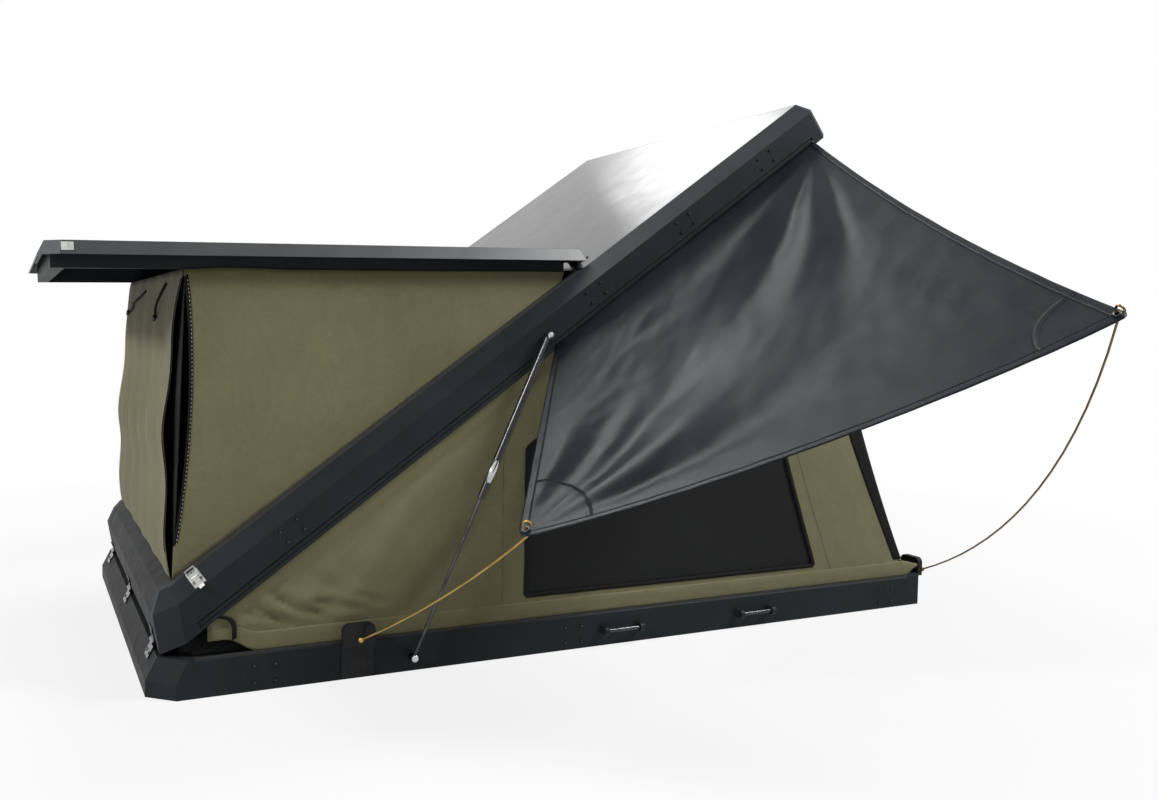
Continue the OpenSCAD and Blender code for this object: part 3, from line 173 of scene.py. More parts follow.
# powder coat, plastic, rubber and bare metal: clouded colour, grained gloss, fine skin
def coatFinish(name, dark, light, cloud=6, grain=900, rough=(0.4, 0.5), metal=0.0, skin=0.25, depth=0.0003,
               stretch=(1, 1, 1), ripple=None, coat=0.0, gloss=0.5, edge=0.0):
    mat, tree, shader = newFinish(name)
    place = objectCoords(tree, stretch)
    clouds = cloudNoise(tree, place, cloud, 5.0)
    tree.links.new(addRamp(tree, clouds, (0.3, dark), (0.7, light)), shader.inputs["Base Color"])
    fine = cloudNoise(tree, place, grain, 2.0)
    wear = cloudNoise(tree, place, cloud * 4, 6.0)
    tree.links.new(spread(tree, wear, *rough), shader.inputs["Roughness"])
    shader.inputs["Metallic"].default_value = metal
    shader.inputs["Specular IOR Level"].default_value = gloss
    shader.inputs["Coat Weight"].default_value = coat
    shader.inputs["Coat Roughness"].default_value = 0.14
    shader.inputs["Coat IOR"].default_value = 1.8
    under = None
    if edge:                                                  # worn, slightly rounded edges
        under = addNode(tree, "Bevel", {"samples": 4}, Radius=edge).outputs[0]
    if ripple:
        under = addBump(tree, shader, cloudNoise(tree, place, ripple[0], 1.0), ripple[1], ripple[2])
    addBump(tree, shader, fine, skin, depth, under)
    return mat


# woven cloth: two crossed thread waves, slub noise, faded patches
def weaveFinish(name, dark, light, pitch=0.0011, rough=(0.75, 0.9), depth=0.0004, fade=2.2, sheen=0.2,
                specks=0.35, gloss=0.3):
    mat, tree, shader = newFinish(name)
    place = objectCoords(tree)
    threads = []
    for axis in ("X", "Z", "Y"):
        wave = addNode(tree, "TexWave", {"bands_direction": axis}, Vector=place, Scale=0.314 / pitch,
                       Distortion=1.2, Detail=1.0, Detail_Scale=2.0)
        threads.append(wave.outputs["Fac"])
    cross = addNode(tree, "Math", {"operation": "MAXIMUM"}, ins=threads[:2]).outputs[0]
    cross = addNode(tree, "Math", {"operation": "MULTIPLY_ADD"}, ins=[threads[2], 0.4, cross]).outputs[0]
    patches = cloudNoise(tree, place, fade, 6.0, 0.62)
    slub = cloudNoise(tree, place, 240, 3.0)
    tone = addNode(tree, "Math", {"operation": "MULTIPLY_ADD"}, ins=[slub, specks, patches]).outputs[0]
    tone = addNode(tree, "Math", {"operation": "MULTIPLY_ADD"}, ins=[cross, 0.1, tone]).outputs[0]
    tree.links.new(addRamp(tree, tone, (0.45, dark), (0.95, light)), shader.inputs["Base Color"])
    tree.links.new(spread(tree, patches, *rough), shader.inputs["Roughness"])
    shader.inputs["Sheen Weight"].default_value = sheen
    shader.inputs["Specular IOR Level"].default_value = gloss
    shader.inputs["Sheen Roughness"].default_value = 0.5
    crease = addBump(tree, shader, cloudNoise(tree, place, 14, 4.0), 0.25, 0.006)
    addBump(tree, shader, cross, 0.5, depth, crease)
    return mat


finishes = {
    "shell_black": coatFinish("satinPowderCoat", rgb(28, 31, 33), rgb(38, 42, 45), 5, 1300, (0.5, 0.6), 0.0,
                              0.3, gloss=0.1, edge=0.0018),
    "panel_gloss": coatFinish("glossLidSkin", rgb(20, 21, 23), rgb(27, 28, 30), 3, 700, (0.17, 0.23), 0.0,
                              0.02, 0.0001, ripple=(2.2, 0.12, 0.02), coat=0.06, gloss=0.32),
    "floor_alloy": coatFinish("millAlloy", rgb(150, 152, 154), rgb(184, 186, 188), 4, 500, (0.35, 0.5), 1.0,
                              0.2, 0.0002, (0.15, 1, 1)),
    "bolt_black": coatFinish("blackOxide", rgb(40, 41, 43), rgb(60, 61, 63), 40, 1500, (0.14, 0.22), 0.9),
    "seal_rubber": coatFinish("sealRubber", rgb(18, 18, 19), rgb(28, 28, 29), 20, 800, (0.7, 0.85), 0.0, 0.4),
    "bed_cloth": weaveFinish("bedCover", rgb(70, 72, 74), rgb(98, 100, 102)),
    "latch_steel": coatFinish("brushedSteel", rgb(150, 150, 148), rgb(205, 205, 202), 30, 900, (0.22, 0.38),
                              1.0, 0.15, 0.0002, (1, 1, 0.1)),
    "bracket_plastic": coatFinish("mouldedNylon", rgb(16, 17, 18), rgb(26, 27, 28), 25, 1100, (0.5, 0.62),
                                  0.0, 0.45, gloss=0.2),
    "wall_canvas": weaveFinish("oliveCanvas", rgb(92, 89, 62), rgb(118, 114, 84), gloss=0.2),
    "net_black": weaveFinish("insectNet", rgb(14, 15, 15), rgb(30, 31, 31), 0.0016, (0.7, 0.85), 0.0006, 3,
                             0.0, gloss=0.15),
    "flap_grey": weaveFinish("coatedFlapCloth", rgb(19, 21, 25), rgb(29, 32, 37), 0.0009, (0.21, 0.27),
                             0.0002, 3, 0.0, gloss=0.1),
    "rod_gold": coatFinish("brassRod", rgb(150, 122, 62), rgb(186, 158, 92), 18, 900, (0.26, 0.4), 1.0, 0.1,
                           0.0002),
}
# darker copy of the satin powder coat: painted shade on the lid's front apron and the base's front rail
apronPaintedShadeCoat = coatFinish("apronPowderCoatPaintedShade", rgb(12, 13, 14), rgb(19, 21, 22), 5, 1300, (0.5, 0.6), 0.0, 0.3,
                        gloss=0.1, edge=0.0018)
# lighter, glossier copy of the satin powder coat: painted light on the hatch rails
hatchPaintedLightCoat = coatFinish("hatchPowderCoatPaintedLight", rgb(34, 37, 39), rgb(46, 49, 52), 5, 1300, (0.32, 0.4), 0.0, 0.2,
                       gloss=0.6, edge=0.0018)
strutBlack = coatFinish("strutPaint", rgb(22, 23, 24), rgb(30, 31, 32), 14, 1200, (0.2, 0.3), 0.0, 0.12,
                        0.0002)
darkChrome = coatFinish("darkChrome", rgb(52, 53, 55), rgb(78, 79, 81), 20, 900, (0.2, 0.3), 1.0, 0.1, 0.0002)
brightSteel = coatFinish("brightSteel", rgb(170, 171, 172), rgb(214, 215, 216), 30, 900, (0.14, 0.24), 1.0,
                         0.1, 0.0002)
eyeletBlack = coatFinish("eyeletBlack", rgb(58, 58, 60), rgb(86, 86, 88), 40, 900, (0.34, 0.46), 1.0, 0.1,
                         0.0002)
bronzeRod = coatFinish("bronzeRod", rgb(92, 68, 44), rgb(124, 96, 62), 18, 900, (0.3, 0.42), 1.0, 0.1, 0.0002)
blackTape = weaveFinish("blackTape", rgb(11, 11, 11), rgb(24, 24, 23), 0.0012, (0.6, 0.75), 0.0005, 8, 0.0,
                        gloss=0.1)
paleThread = weaveFinish("paleThread", rgb(168, 166, 156), rgb(206, 204, 196), 0.0004, (0.6, 0.8), 0.0001, 60,
                         0.2)

# nodes that look unlike the rest of their material slot; the lid's front apron and the base's front rail get
# a darker copy of the powder coat as painted shade, the hatch rails a lighter, glossier copy as painted light
ownFinish = {
    "strut_barrels": strutBlack, "hatch_strut_barrels": strutBlack,
    "strut_rods": darkChrome, "hatch_strut_rods": darkChrome, "ladder_bars": darkChrome,
    "lid_front_apron": apronPaintedShadeCoat, "base_front_rail": apronPaintedShadeCoat,
    "awning_rod_rear": bronzeRod, "hatch_rails": hatchPaintedLightCoat,
}
for part in frame["record"]["subparts"]:
    paint = ownFinish.get(part["node"], finishes[part["material_slot"]])
    for place in frame["nodes"][part["node"]].material_slots:
        place.material = paint
print("finishes on the solids")


# a new piece of the tent, riding on its body
def keepPiece(name, bm, paint, body, smooth=True):
    mesh = bpy.data.meshes.new(name)
    bm.to_mesh(mesh)
    bm.free()
    return keepMesh(name, mesh, paint, body, smooth)


def keepMesh(name, mesh, paint, body, smooth=True):
    if smooth:
        mesh.shade_smooth()
    mesh.materials.append(paint)
    obj = bpy.data.objects.new(name, mesh)
    scene.collection.objects.link(obj)
    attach(obj, body)
    return obj


# a sheet over the unit square, sent to its place by a function of u and v
def layGrid(bm, cols, rows, place):
    made = bmesh.ops.create_grid(bm, x_segments=cols, y_segments=rows, size=0.5)["verts"]
    for vert in made:
        vert.co = place(vert.co.x + 0.5, vert.co.y + 0.5)


def thicken(obj, thickness, offset=0.0):
    wall = obj.modifiers.new("clothThickness", "SOLIDIFY")
    wall.thickness = thickness
    wall.offset = offset


# round cords, ties and stitches along runs of points
def tubeMesh(name, runs, radius, sides):
    curve = bpy.data.curves.new(name + "Line", "CURVE")
    curve.dimensions = "3D"
    curve.bevel_depth = radius
    curve.bevel_resolution = sides
    curve.use_fill_caps = True
    for run in runs:
        line = curve.splines.new("POLY")
        line.points.add(len(run) - 1)
        for dot, p in zip(line.points, run):
            dot.co = (*p, 1)
    holder = bpy.data.objects.new(name + "Line", curve)
    scene.collection.objects.link(holder)
    bpy.context.view_layer.update()
    mesh = bpy.data.meshes.new_from_object(holder.evaluated_get(bpy.context.evaluated_depsgraph_get()))
    mesh.name = name
    bpy.data.objects.remove(holder)
    bpy.data.curves.remove(curve)
    return mesh


# points at even steps along a run
def alongRun(points, step):
    made, rest = [], 0.0
    for a, b in zip(points, points[1:]):
        length = (b - a).length
        while rest <= length:
            made.append(a + (b - a) * (rest / length))
            rest += step
        rest -= length
    return made


def stitchRuns(points, step, long=0.0036):
    dots = alongRun(points, step)
    runs = []
    for a, b in zip(dots, dots[1:]):
        way = (b - a).normalized()
        runs.append([a, a + way * long])
    return runs


# one more ring of faces from a rim: its new edges and points
def growRim(bm, rim):
    made = bmesh.ops.extrude_edge_only(bm, edges=rim)["geom"]
    fresh = [v for v in made if isinstance(v, bmesh.types.BMVert)]
    return [e for e in made if isinstance(e, bmesh.types.BMEdge) and all(v in fresh for v in e.verts)], fresh


# a flat tape along a run of points, its width along one direction
def layTape(bm, points, across, width):
    across = Vector(across).normalized() * width / 2
    edge = bm.edges.new([bm.verts.new(points[0] + across * k) for k in (-1, 1)])
    for p in points[1:]:
        old = list(edge.verts)
        made = bmesh.ops.extrude_edge_only(bm, edges=[edge])["geom"]
        fresh = [v for v in made if isinstance(v, bmesh.types.BMVert)]
        for vert in fresh:
            mate = next(e.other_vert(vert) for e in vert.link_edges if e.other_vert(vert) in old)
            side = -1 if mate == old[0] else 1
            vert.co = p + across * side
        fresh.sort(key=lambda v: (v.co - p).dot(across))
        edge = next(e for e in fresh[0].link_edges if e.other_vert(fresh[0]) == fresh[1])


# how each group of cloth follows the shell: body, joint, direction, place of the held end, share kept
softGroups = {
    "lower": ("base", "lid_hinge", (0, 0, 1), (0, 0, shell["railTop"] + 0.0004), 0.001),
    "upper": ("lid", "hatch_hinge", tuple(lidNormal), tuple(lidAt(0, 0, 0.1725)), 0.002),
    "flap": ("lid", "lid_hinge", (0.15213, -0.965926, -0.209389), (-0.145162, -0.668, 0.770602), 0.001),
}


def letFold(group, *pieces):
    body, joint, axis, anchor, keep = softGroups[group]
    for piece in pieces:
        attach(piece, body)
        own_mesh(piece)
        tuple(axis)
        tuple(anchor)


# lower walls: olive canvas between base and lid
lowerWall = {"y": 0.675, "rearY": 0.6735, "start": -0.975, "end": 1.033, "head": (0.639907, 1.3306),
             "thick": 0.0018, "puff": 0.005, "lift": 0.034, "liftFrom": -0.865, "liftTo": -0.935,
             "rearBow": 0.056, "bowReach": 0.5}
window = {"front": -0.215, "rear": 0.694, "sill": 0.146, "band": 0.19, "netThick": 0.0009}


def windowCorners(grow=0.0):
    lean = (lowerWall["end"] - lowerWall["head"][0]) / (lowerWall["head"][1] - shell["railTop"])
    x0, x1, z0 = window["front"] - grow, window["rear"] + grow, window["sill"] - grow
    top = (lidLine(x1 + lean * z0) - window["band"] + grow) / (1 + lean * tan(shell["lidTurn"]))
    return [(x0, z0), (x1, z0), (x1 - lean * (top - z0), top), (x0, lidLine(x0) - window["band"] + grow)]


def wallCorners():
    return [(lowerWall["start"], shell["railTop"]), (lowerWall["end"], shell["railTop"]), lowerWall["head"],
            (lowerWall["start"], lidLine(lowerWall["start"]))]


# distance to the nearest side of a field
def edgeGap(x, z, corners):
    best = 9.0
    for (ax, az), (bx, bz) in zip(corners, corners[1:] + corners[:1]):
        long = hypot(bx - ax, bz - az)
        best = min(best, abs((bx - ax) * (az - z) - (ax - x) * (bz - az)) / long)
    return best


# creases at the front foot, from the lid down to the rear: x and z of both ends, depth
footCreases = (((-0.905, 0.186), (-0.835, 0.145), 0.006), ((-0.89, 0.204), (-0.79, 0.132), 0.008),
               ((-0.845, 0.21), (-0.735, 0.144), 0.008), ((-0.798, 0.198), (-0.705, 0.141), 0.006),
               ((-0.758, 0.197), (-0.662, 0.15), 0.006), ((-0.722, 0.196), (-0.62, 0.149), 0.005),
               ((-0.86, 0.23), (-0.77, 0.182), 0.005), ((-0.66, 0.2), (-0.56, 0.16), 0.003))


def creaseRise(x, z):
    total = 0.0
    if not -0.96 < x < -0.5 or z > 0.27:
        return total
    for (ax, az), (bx, bz), deep in footCreases:
        wx, wz = bx - ax, bz - az
        t = min(1.0, max(0.0, ((x - ax) * wx + (z - az) * wz) / (wx * wx + wz * wz)))
        gap = hypot(x - ax - wx * t, z - az - wz * t)
        side = (x - ax) * wz - (z - az) * wx                 # the cloth stands up beside each groove
        mid = smoothStep(0.0, 0.3, t) * smoothStep(1.0, 0.6, t)
        total -= deep * mid * exp(-(gap / 0.009) ** 2)
        total += 0.7 * deep * mid * exp(-((gap - 0.016) / 0.01) ** 2) * (1 if side < 0 else 0.5)
    return total


# how far the wall stands out: soft swell, pulled folds, small ripples and creases
def wallPuff(x, z, seed):
    gap = edgeGap(x, z, wallCorners())
    held = smoothStep(0.0, 0.11, gap)
    slack = smoothStep(0.35, -0.75, x) * smoothStep(0.6, 0.1, z)      # looser towards the front foot
    soft = noise.noise(Vector((x * 2.1, seed, z * 2.6)))
    pulls = noise.noise(Vector(((x * 0.62 + z * 0.78) * 3.0, seed + 4, (z * 0.62 - x * 0.78) * 16.0)))
    small = noise.noise(Vector(((x * 0.8 - z * 0.6) * 7.0, seed + 9, (z * 0.8 + x * 0.6) * 26.0)))
    rise = lowerWall["puff"] * (0.5 + soft) + (0.0014 + 0.011 * slack) * pulls
    rise += (0.0006 + 0.004 * slack) * small
    return smoothStep(0.0, 0.05, gap) * creaseRise(x, z) + held * rise


# the foot is gathered up at the front end
def footLift(x, z):
    top = lidLine(x) - shell["railTop"]
    rest = max(0.0, 1 - (z - shell["railTop"]) / top)
    return lowerWall["lift"] * smoothStep(lowerWall["liftFrom"], lowerWall["liftTo"], x) * rest


# the taut rear edge pulls in between base and lid
def rearBow(x, z):
    t = (z - shell["railTop"]) / (lowerWall["head"][1] - shell["railTop"])
    edge = lowerWall["end"] + (lowerWall["head"][0] - lowerWall["end"]) * t
    pull = sin(pi * min(1.0, max(0.0, t))) ** 0.8
    return lowerWall["rearBow"] * pull * smoothStep(lowerWall["bowReach"], 0.0, edge - x)


def lowerAt(x, z, side, out=0.0):
    y = lowerWall["y"] + wallPuff(x, z, side * 3.0) + out
    return Vector((x - rearBow(x, z), side * y, z + footLift(x, z)))


def rearAt(u, v, out=0.0):
    y = (u * 2 - 1) * lowerWall["rearY"]
    foot = (lowerWall["end"] - 0.001, y, shell["railTop"])
    head = (lowerWall["head"][0] - 0.001, y, lowerWall["head"][1] - 0.001)
    p = between(foot, head, v)
    held = smoothStep(0, 0.12, min(u, 1 - u)) * smoothStep(0, 0.12, min(v, 1 - v))
    folds = noise.noise(Vector((y * 5.0, 3, v * 2.0))) + 0.4 * noise.noise(Vector((y * 14.0, 8, v * 4.0)))
    p.x -= rearBow(p.x, p.z) * (0.12 + 0.88 * abs(u * 2 - 1) ** 3)     # its middle stays out
    return p + Vector((0.95, 0, 0.3)) * (held * 0.006 * folds + out)


# a place in a four-cornered field
def patch(corners, u, v):
    a, b, c, d = (Vector((p[0], p[1])) for p in corners)
    return (a * (1 - u) + b * u) * (1 - v) + (d * (1 - u) + c * u) * v


def makeLowerWalls():
    made = {}
    outer, hole = wallCorners(), windowCorners()
    bm = bmesh.new()
    for k in range(4):
        j = (k + 1) % 4
        corners = (outer[k], outer[j], hole[j], hole[k])

        def place(u, v):
            p = patch(corners, u, v)
            return lowerAt(p.x, p.y, -1)

        layGrid(bm, 84, 60, place)
    bmesh.ops.remove_doubles(bm, verts=bm.verts[:], dist=0.0003)
    bmesh.ops.recalc_face_normals(bm, faces=bm.faces[:])
    made["near"] = keepPiece("canvasNear", bm, finishes["wall_canvas"], "base")
    bm = bmesh.new()

    def placeFar(u, v):
        p = patch(outer, u, v)
        return lowerAt(p.x, p.y, 1)

    layGrid(bm, 90, 60, placeFar)
    bmesh.ops.recalc_face_normals(bm, faces=bm.faces[:])
    made["far"] = keepPiece("canvasFar", bm, finishes["wall_canvas"], "base")
    bm = bmesh.new()
    layGrid(bm, 70, 60, rearAt)
    made["rear"] = keepPiece("canvasRear", bm, finishes["wall_canvas"], "base")
    bm = bmesh.new()
    net = windowCorners(0.018)

    def placeNet(u, v):
        p = patch(net, u, v)
        return lowerAt(p.x, p.y, -1, -0.0022)

    layGrid(bm, 60, 40, placeNet)
    made["net"] = keepPiece("doorNet", bm, finishes["net_black"], "base")
    for key in ("near", "far", "rear"):
        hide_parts("lower_wall_" + key)
        thicken(made[key], lowerWall["thick"])
    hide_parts("door_mesh")
    thicken(made["net"], window["netThick"])
    return made


lowerPieces = makeLowerWalls()
print("lower walls made")

# skirt round the foot of the lower walls, with a beak at each rear end
skirt = {"height": 0.046, "tip": 1.084, "tipLow": 0.026, "tipHigh": 0.034, "out": 0.0019, "thick": 0.001}


def skirtLow(x):
    return shell["railTop"] + skirt["tipLow"] * smoothStep(lowerWall["end"] + 0.004, skirt["tip"], x)


def skirtHigh(x):
    drop = (skirt["height"] - skirt["tipHigh"]) * smoothStep(lowerWall["end"] - 0.006, skirt["tip"], x)
    return shell["railTop"] + skirt["height"] - drop


def makeSkirt():
    bm = bmesh.new()
    for side in (-1, 1):
        def place(u, v):
            x = lowerWall["start"] + u * (skirt["tip"] - lowerWall["start"])
            z = skirtLow(x) * (1 - v) + skirtHigh(x) * v
            sway = 0.0007 * (1 + noise.noise(Vector((x * 9.0, side, v * 1.5)))) * sin(pi * v)
            inX = min(x, lowerWall["end"] - 0.002)
            out = skirt["out"] - 0.0017 * smoothStep(0.7, 1.0, v) + sway
            y = lowerWall["y"] + wallPuff(inX, z, side * 3.0) + out
            return Vector((x, side * y, z + footLift(x, z)))

        layGrid(bm, 160, 8, place)

    def placeRear(u, v):
        y = (u * 2 - 1) * lowerWall["rearY"]
        return Vector((lowerWall["end"] + 0.0012, y, shell["railTop"] + skirt["height"] * v))

    layGrid(bm, 80, 6, placeRear)
    bmesh.ops.recalc_face_normals(bm, faces=bm.faces[:])
    piece = keepPiece("canvasSkirt", bm, finishes["wall_canvas"], "base")
    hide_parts("canvas_skirt")
    thicken(piece, skirt["thick"])
    return piece


lowerPieces["skirt"] = makeSkirt()
print("skirt made")

# upper walls: canvas between lid and hatch
upperWall = {"y": 0.5965, "foot": (-0.9573, 0.1974), "rear": (0.2177, 0.1974), "head": (-0.528, 0.7351),
             "underHatch": 0.2437, "thick": 0.0018, "netThick": 0.0012, "netIn": 0.0038,
             "zipGap": 0.062, "zipSpan": (0.11, 0.975), "zipWave": 0.007, "bow": 0.026,
             "folds": 5, "depth": 0.0104, "bulge": 0.28}
upperWall["frontY"] = upperWall["y"] - 0.0014


def upperCorners():
    px, pz = shell["hatchPin"]
    c, s = cos(shell["hatchTurn"]), sin(shell["hatchTurn"])

    def underHatch(x):
        z = shell["hatchFrame"]
        return (px + (x - px) * c + (z - pz) * s, pz - (x - px) * s + (z - pz) * c)

    return [upperWall["foot"], upperWall["rear"], underHatch(upperWall["underHatch"]), upperWall["head"]]


# the open zip lets the side wall's front edge bow back
def zipBow(t):
    low, high = upperWall["zipSpan"]
    t = min(1.0, max(0.0, (t - low) / (high - low)))
    return sin(pi * t) ** 0.8


def upperAt(x, z, side, out=0.0):
    corners = upperCorners()
    rise = (z - corners[0][1]) / (corners[3][1] - corners[0][1])
    edge = corners[0][0] + (corners[3][0] - corners[0][0]) * rise
    if side < 0:
        x += upperWall["bow"] * zipBow(rise) * smoothStep(0.3, 0.0, x - edge)
    held = smoothStep(0.0, 0.1, edgeGap(x, z, corners))
    soft = noise.noise(Vector((x * 3.2, side * 5.0, z * 3.0)))
    pulls = noise.noise(Vector(((x * 0.5 + z * 0.86) * 3.5, side + 2, (z * 0.5 - x * 0.86) * 15.0)))
    return lidAt(x, side * (upperWall["y"] + held * (0.004 * (0.4 + soft) + 0.003 * pulls) + out), z)


def frontLine(v):
    corners = upperCorners()
    return between((corners[0][0], 0, corners[0][1]), (corners[3][0], 0, corners[3][1]), v)


def frontAt(u, v, out=0.0):
    half = upperWall["frontY"]
    wave = upperWall["zipWave"] * cos(2 * pi * (v - 0.64) / 0.38) * zipBow(v)
    edge = -half + upperWall["zipGap"] * zipBow(v) * (0.75 + 0.55 * v) + wave
    p = frontLine(v) + Vector((0, edge + u * (half - edge), 0))
    swell = sin(pi * v) ** 0.45 * (1 + upperWall["bulge"] * cos(2 * pi * (v - 0.48) / 0.38))
    depth = swell * (1.2 + sin(2 * pi * upperWall["folds"] * u + 0.5 * sin(5 * v)))
    depth += 0.7 * swell * (1 + noise.noise(Vector((u * 7.0, v * 4.0, 7.0))))
    p.x -= upperWall["depth"] * depth + 0.001 + out
    return lidAt(p.x, p.y, p.z)


def makeUpperWalls():
    made = {}
    corners = upperCorners()
    for key, side in (("near", -1), ("far", 1)):
        bm = bmesh.new()

        def place(u, v):
            p = patch(corners, u, v)
            return upperAt(p.x, p.y, side)

        layGrid(bm, 80, 50, place)
        bmesh.ops.recalc_face_normals(bm, faces=bm.faces[:])
        name = "hatchCanvas" + key.title()
        made[key] = keepPiece(name, bm, finishes["wall_canvas"], "lid")
    bm = bmesh.new()
    layGrid(bm, 120, 50, frontAt)
    made["front"] = keepPiece("hatchCanvasFront", bm, finishes["wall_canvas"], "lid")
    for key, piece in made.items():
        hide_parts("upper_wall_" + key)
        thicken(piece, upperWall["thick"])
    bm = bmesh.new()

    def placeNet(u, v):
        p = frontLine(v) + Vector((upperWall["netIn"], (u * 2 - 1) * upperWall["frontY"], 0))
        return lidAt(p.x, p.y, p.z)

    layGrid(bm, 40, 24, placeNet)
    made["net"] = keepPiece("hatchNet", bm, finishes["net_black"], "lid")
    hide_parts("upper_mesh_front")
    thicken(made["net"], upperWall["netThick"])
    return made


upperPieces = makeUpperWalls()
print("upper walls made")

# door flap held out by the two rods
flap = {
    "seam": ((-0.145162, -0.688733, 0.770602), (0.636264, -0.688733, 1.33834)),
    "corners": ((-0.448028, -1.15431, 0.396356), (0.487054, -1.80631, 0.859788)),
    "up": (-0.567757, -0.258819, 0.78145),
    "eyelets": ((-0.429137, -1.15173, 0.410934), (0.477344, -1.78436, 0.860003)),
    "sag": 0.058, "edgeSag": 0.034, "sideSag": 0.034, "thick": 0.0016, "ring": 0.0046,
    "outer": 1.12, "front": 0.72, "rear": 1.25,     # lengths of the free sides
    "cut": (0.024, 0.014),                          # radius of the front and the rear corner
}

# folds that fan out from the pulled corners: (angle from the outer edge, half width, height, reach)
flapFans = {
    "front": ((76, 7, 0.008, 0.5), (60, 6, -0.006, 0.55), (46, 6, -0.008, 0.7), (31, 7, 0.011, 0.85),
              (17, 5, -0.006, 1.0)),
    "rear": ((20, 6, 0.008, 0.9), (34, 5, -0.009, 0.8), (47, 6, 0.008, 0.9), (62, 5, -0.006, 0.8)),
}


def fanRise(name, along, down):
    r = hypot(along, down)
    turn = atan2(down, along) * 180 / pi + 3 * noise.noise(Vector((along * 5.0, down * 5.0, 2.0)))
    total = 0.0
    for angle, wide, high, reach in flapFans[name]:
        grow = smoothStep(0.04, 0.3, r) * smoothStep(reach, reach * 0.45, r)
        total += high * grow * exp(-((turn - angle) / wide) ** 2)
    return total


# the outer corners are cut round
def roundCorner(u, v):
    wide = flap["outer"]
    for first, high, radius in zip((True, False), (flap["front"], flap["rear"]), flap["cut"]):
        s = 1 - (u if first else 1 - u) * wide / radius
        t = 1 - (1 - v) * high / radius
        if s > 0 and t > 0:
            a, b = s * (1 - t * t / 2) ** 0.5, t * (1 - s * s / 2) ** 0.5
            u = (1 - a) * radius / wide if first else 1 - (1 - a) * radius / wide
            v = 1 - (1 - b) * radius / high
    return u, v


def flapAt(u, v, out=0.0):
    u, v = roundCorner(u, v)
    seamA, seamB = flap["seam"]
    cornerA, cornerB = flap["corners"]
    up = Vector(flap["up"])
    p = between(between(seamA, seamB, u), between(cornerA, cornerB, u), v)
    fade = 16 * u * (1 - u) * v * (1 - v)
    held = smoothStep(0, 0.06, v)
    rise = -flap["sag"] * fade
    rise += held * fanRise("front", u * 1.1, (1 - v) * flap["front"])
    rise += held * smoothStep(0, 0.08, 1 - u) * fanRise("rear", (1 - u) * 1.05, v * 0.95)
    rise += fade * 0.006 * noise.noise(Vector((u * 5.0, v * 4.0, 3.0)))
    rise += held * 0.0012 * noise.noise(Vector((u * 22.0 + v * 9.0, v * 16.0, 6.0)))
    p += up * (rise + out)
    p.z -= flap["edgeSag"] * (4 * u * (1 - u)) ** 0.8 * v ** 3
    p.z -= flap["sideSag"] * (4 * v * (1 - v)) * u ** 4
    return p


def makeFlap():
    bm = bmesh.new()
    layGrid(bm, 110, 90, flapAt)
    piece = keepPiece("doorFlap", bm, finishes["flap_grey"], "lid")
    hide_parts("awning")
    thicken(piece, flap["thick"])
    bm = bmesh.new()
    up = Vector(flap["up"])
    still = Vector((0, 0, 0))
    lie = up.to_track_quat("Z", "Y").to_matrix().to_4x4()
    for p in flap["eyelets"]:
        at = Vector(p)
        circle = bmesh.ops.create_circle(bm, segments=28, radius=flap["ring"],
                                         matrix=Matrix.Translation(at) @ lie)["verts"]
        rim = list({e for v in circle for e in v.link_edges})
        for move, scale in ((up * 0.0022, 1.0), (still, 1.7), (up * -0.0016, 1.06), (up * -0.0028, 0.98)):
            rim, fresh = growRim(bm, rim)
            for vert in fresh:
                vert.co = at + (vert.co - at) * scale + move
    bmesh.ops.recalc_face_normals(bm, faces=bm.faces[:])
    rings = keepPiece("flapEyelets", bm, eyeletBlack, "lid")
    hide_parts("awning_grommets")
    return piece, rings


flapPiece, flapRings = makeFlap()
print("door flap made")

# mattress
bed = {"x": (-1.026, 1.016), "y": 0.636, "z": (0.0584, 0.1134), "pull": 0.009, "cells": (7, 5),
       "seam": 0.004, "fill": 0.9}


def makeBed():
    bm = bmesh.new()
    bmesh.ops.create_cube(bm, size=2)
    bmesh.ops.subdivide_edges(bm, edges=bm.edges[:], cuts=40, use_grid_fill=True)
    x0, x1 = bed["x"]
    mid = bed["z"][0] * 0.65 + bed["z"][1] * 0.35
    for vert in bm.verts:
        a, b, c = vert.co
        swell = (max(0, 1 - abs(a) ** 8) * max(0, 1 - abs(b) ** 8)) ** 0.5
        x = (x0 + x1) / 2 + (x1 - x0) / 2 * a - bed["pull"] * cos(pi * b / 2) * a * abs(a) ** 5
        y = bed["y"] * b - bed["pull"] * cos(pi * a / 2) * b * abs(b) ** 5
        reach = (bed["z"][1] - mid) if c > 0 else (mid - bed["z"][0])
        z = mid + c * reach * (0.15 + 0.85 * swell)
        if c > 0:
            seam = min(abs(sin(pi * n * (k + 1) / 2)) for n, k in zip(bed["cells"], (a, b)))
            z -= bed["seam"] * exp(-(seam * 6) ** 2) * swell
        vert.co = (x, y, z)
    bmesh.ops.recalc_face_normals(bm, faces=bm.faces[:])
    piece = keepPiece("bedPad", bm, finishes["bed_cloth"], "base")
    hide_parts("mattress")


makeBed()
print("bed made")

# window trim, wall seams and the corner zips
trim = {"bindWide": 0.011, "rearBind": 0.013, "rearBand": (0.032, 0.058), "zipTape": 0.011, "steps": 40,
        "tapeOut": 0.0014, "seamOut": 0.0012, "thread": 0.0006, "seamStep": 0.008, "bandOut": 0.0012,
        "bindThick": 0.0009, "strapOut": 0.0052, "strapThick": 0.0014, "zipThick": 0.0012,
        "rearDoor": ((0.14, 0.1), (0.86, 0.1), (0.86, 0.84), (0.14, 0.84))}


def flatRun(a, b):
    steps = [k / trim["steps"] for k in range(trim["steps"] + 1)]
    return [(a[0] + (b[0] - a[0]) * t, a[1] + (b[1] - a[1]) * t) for t in steps]


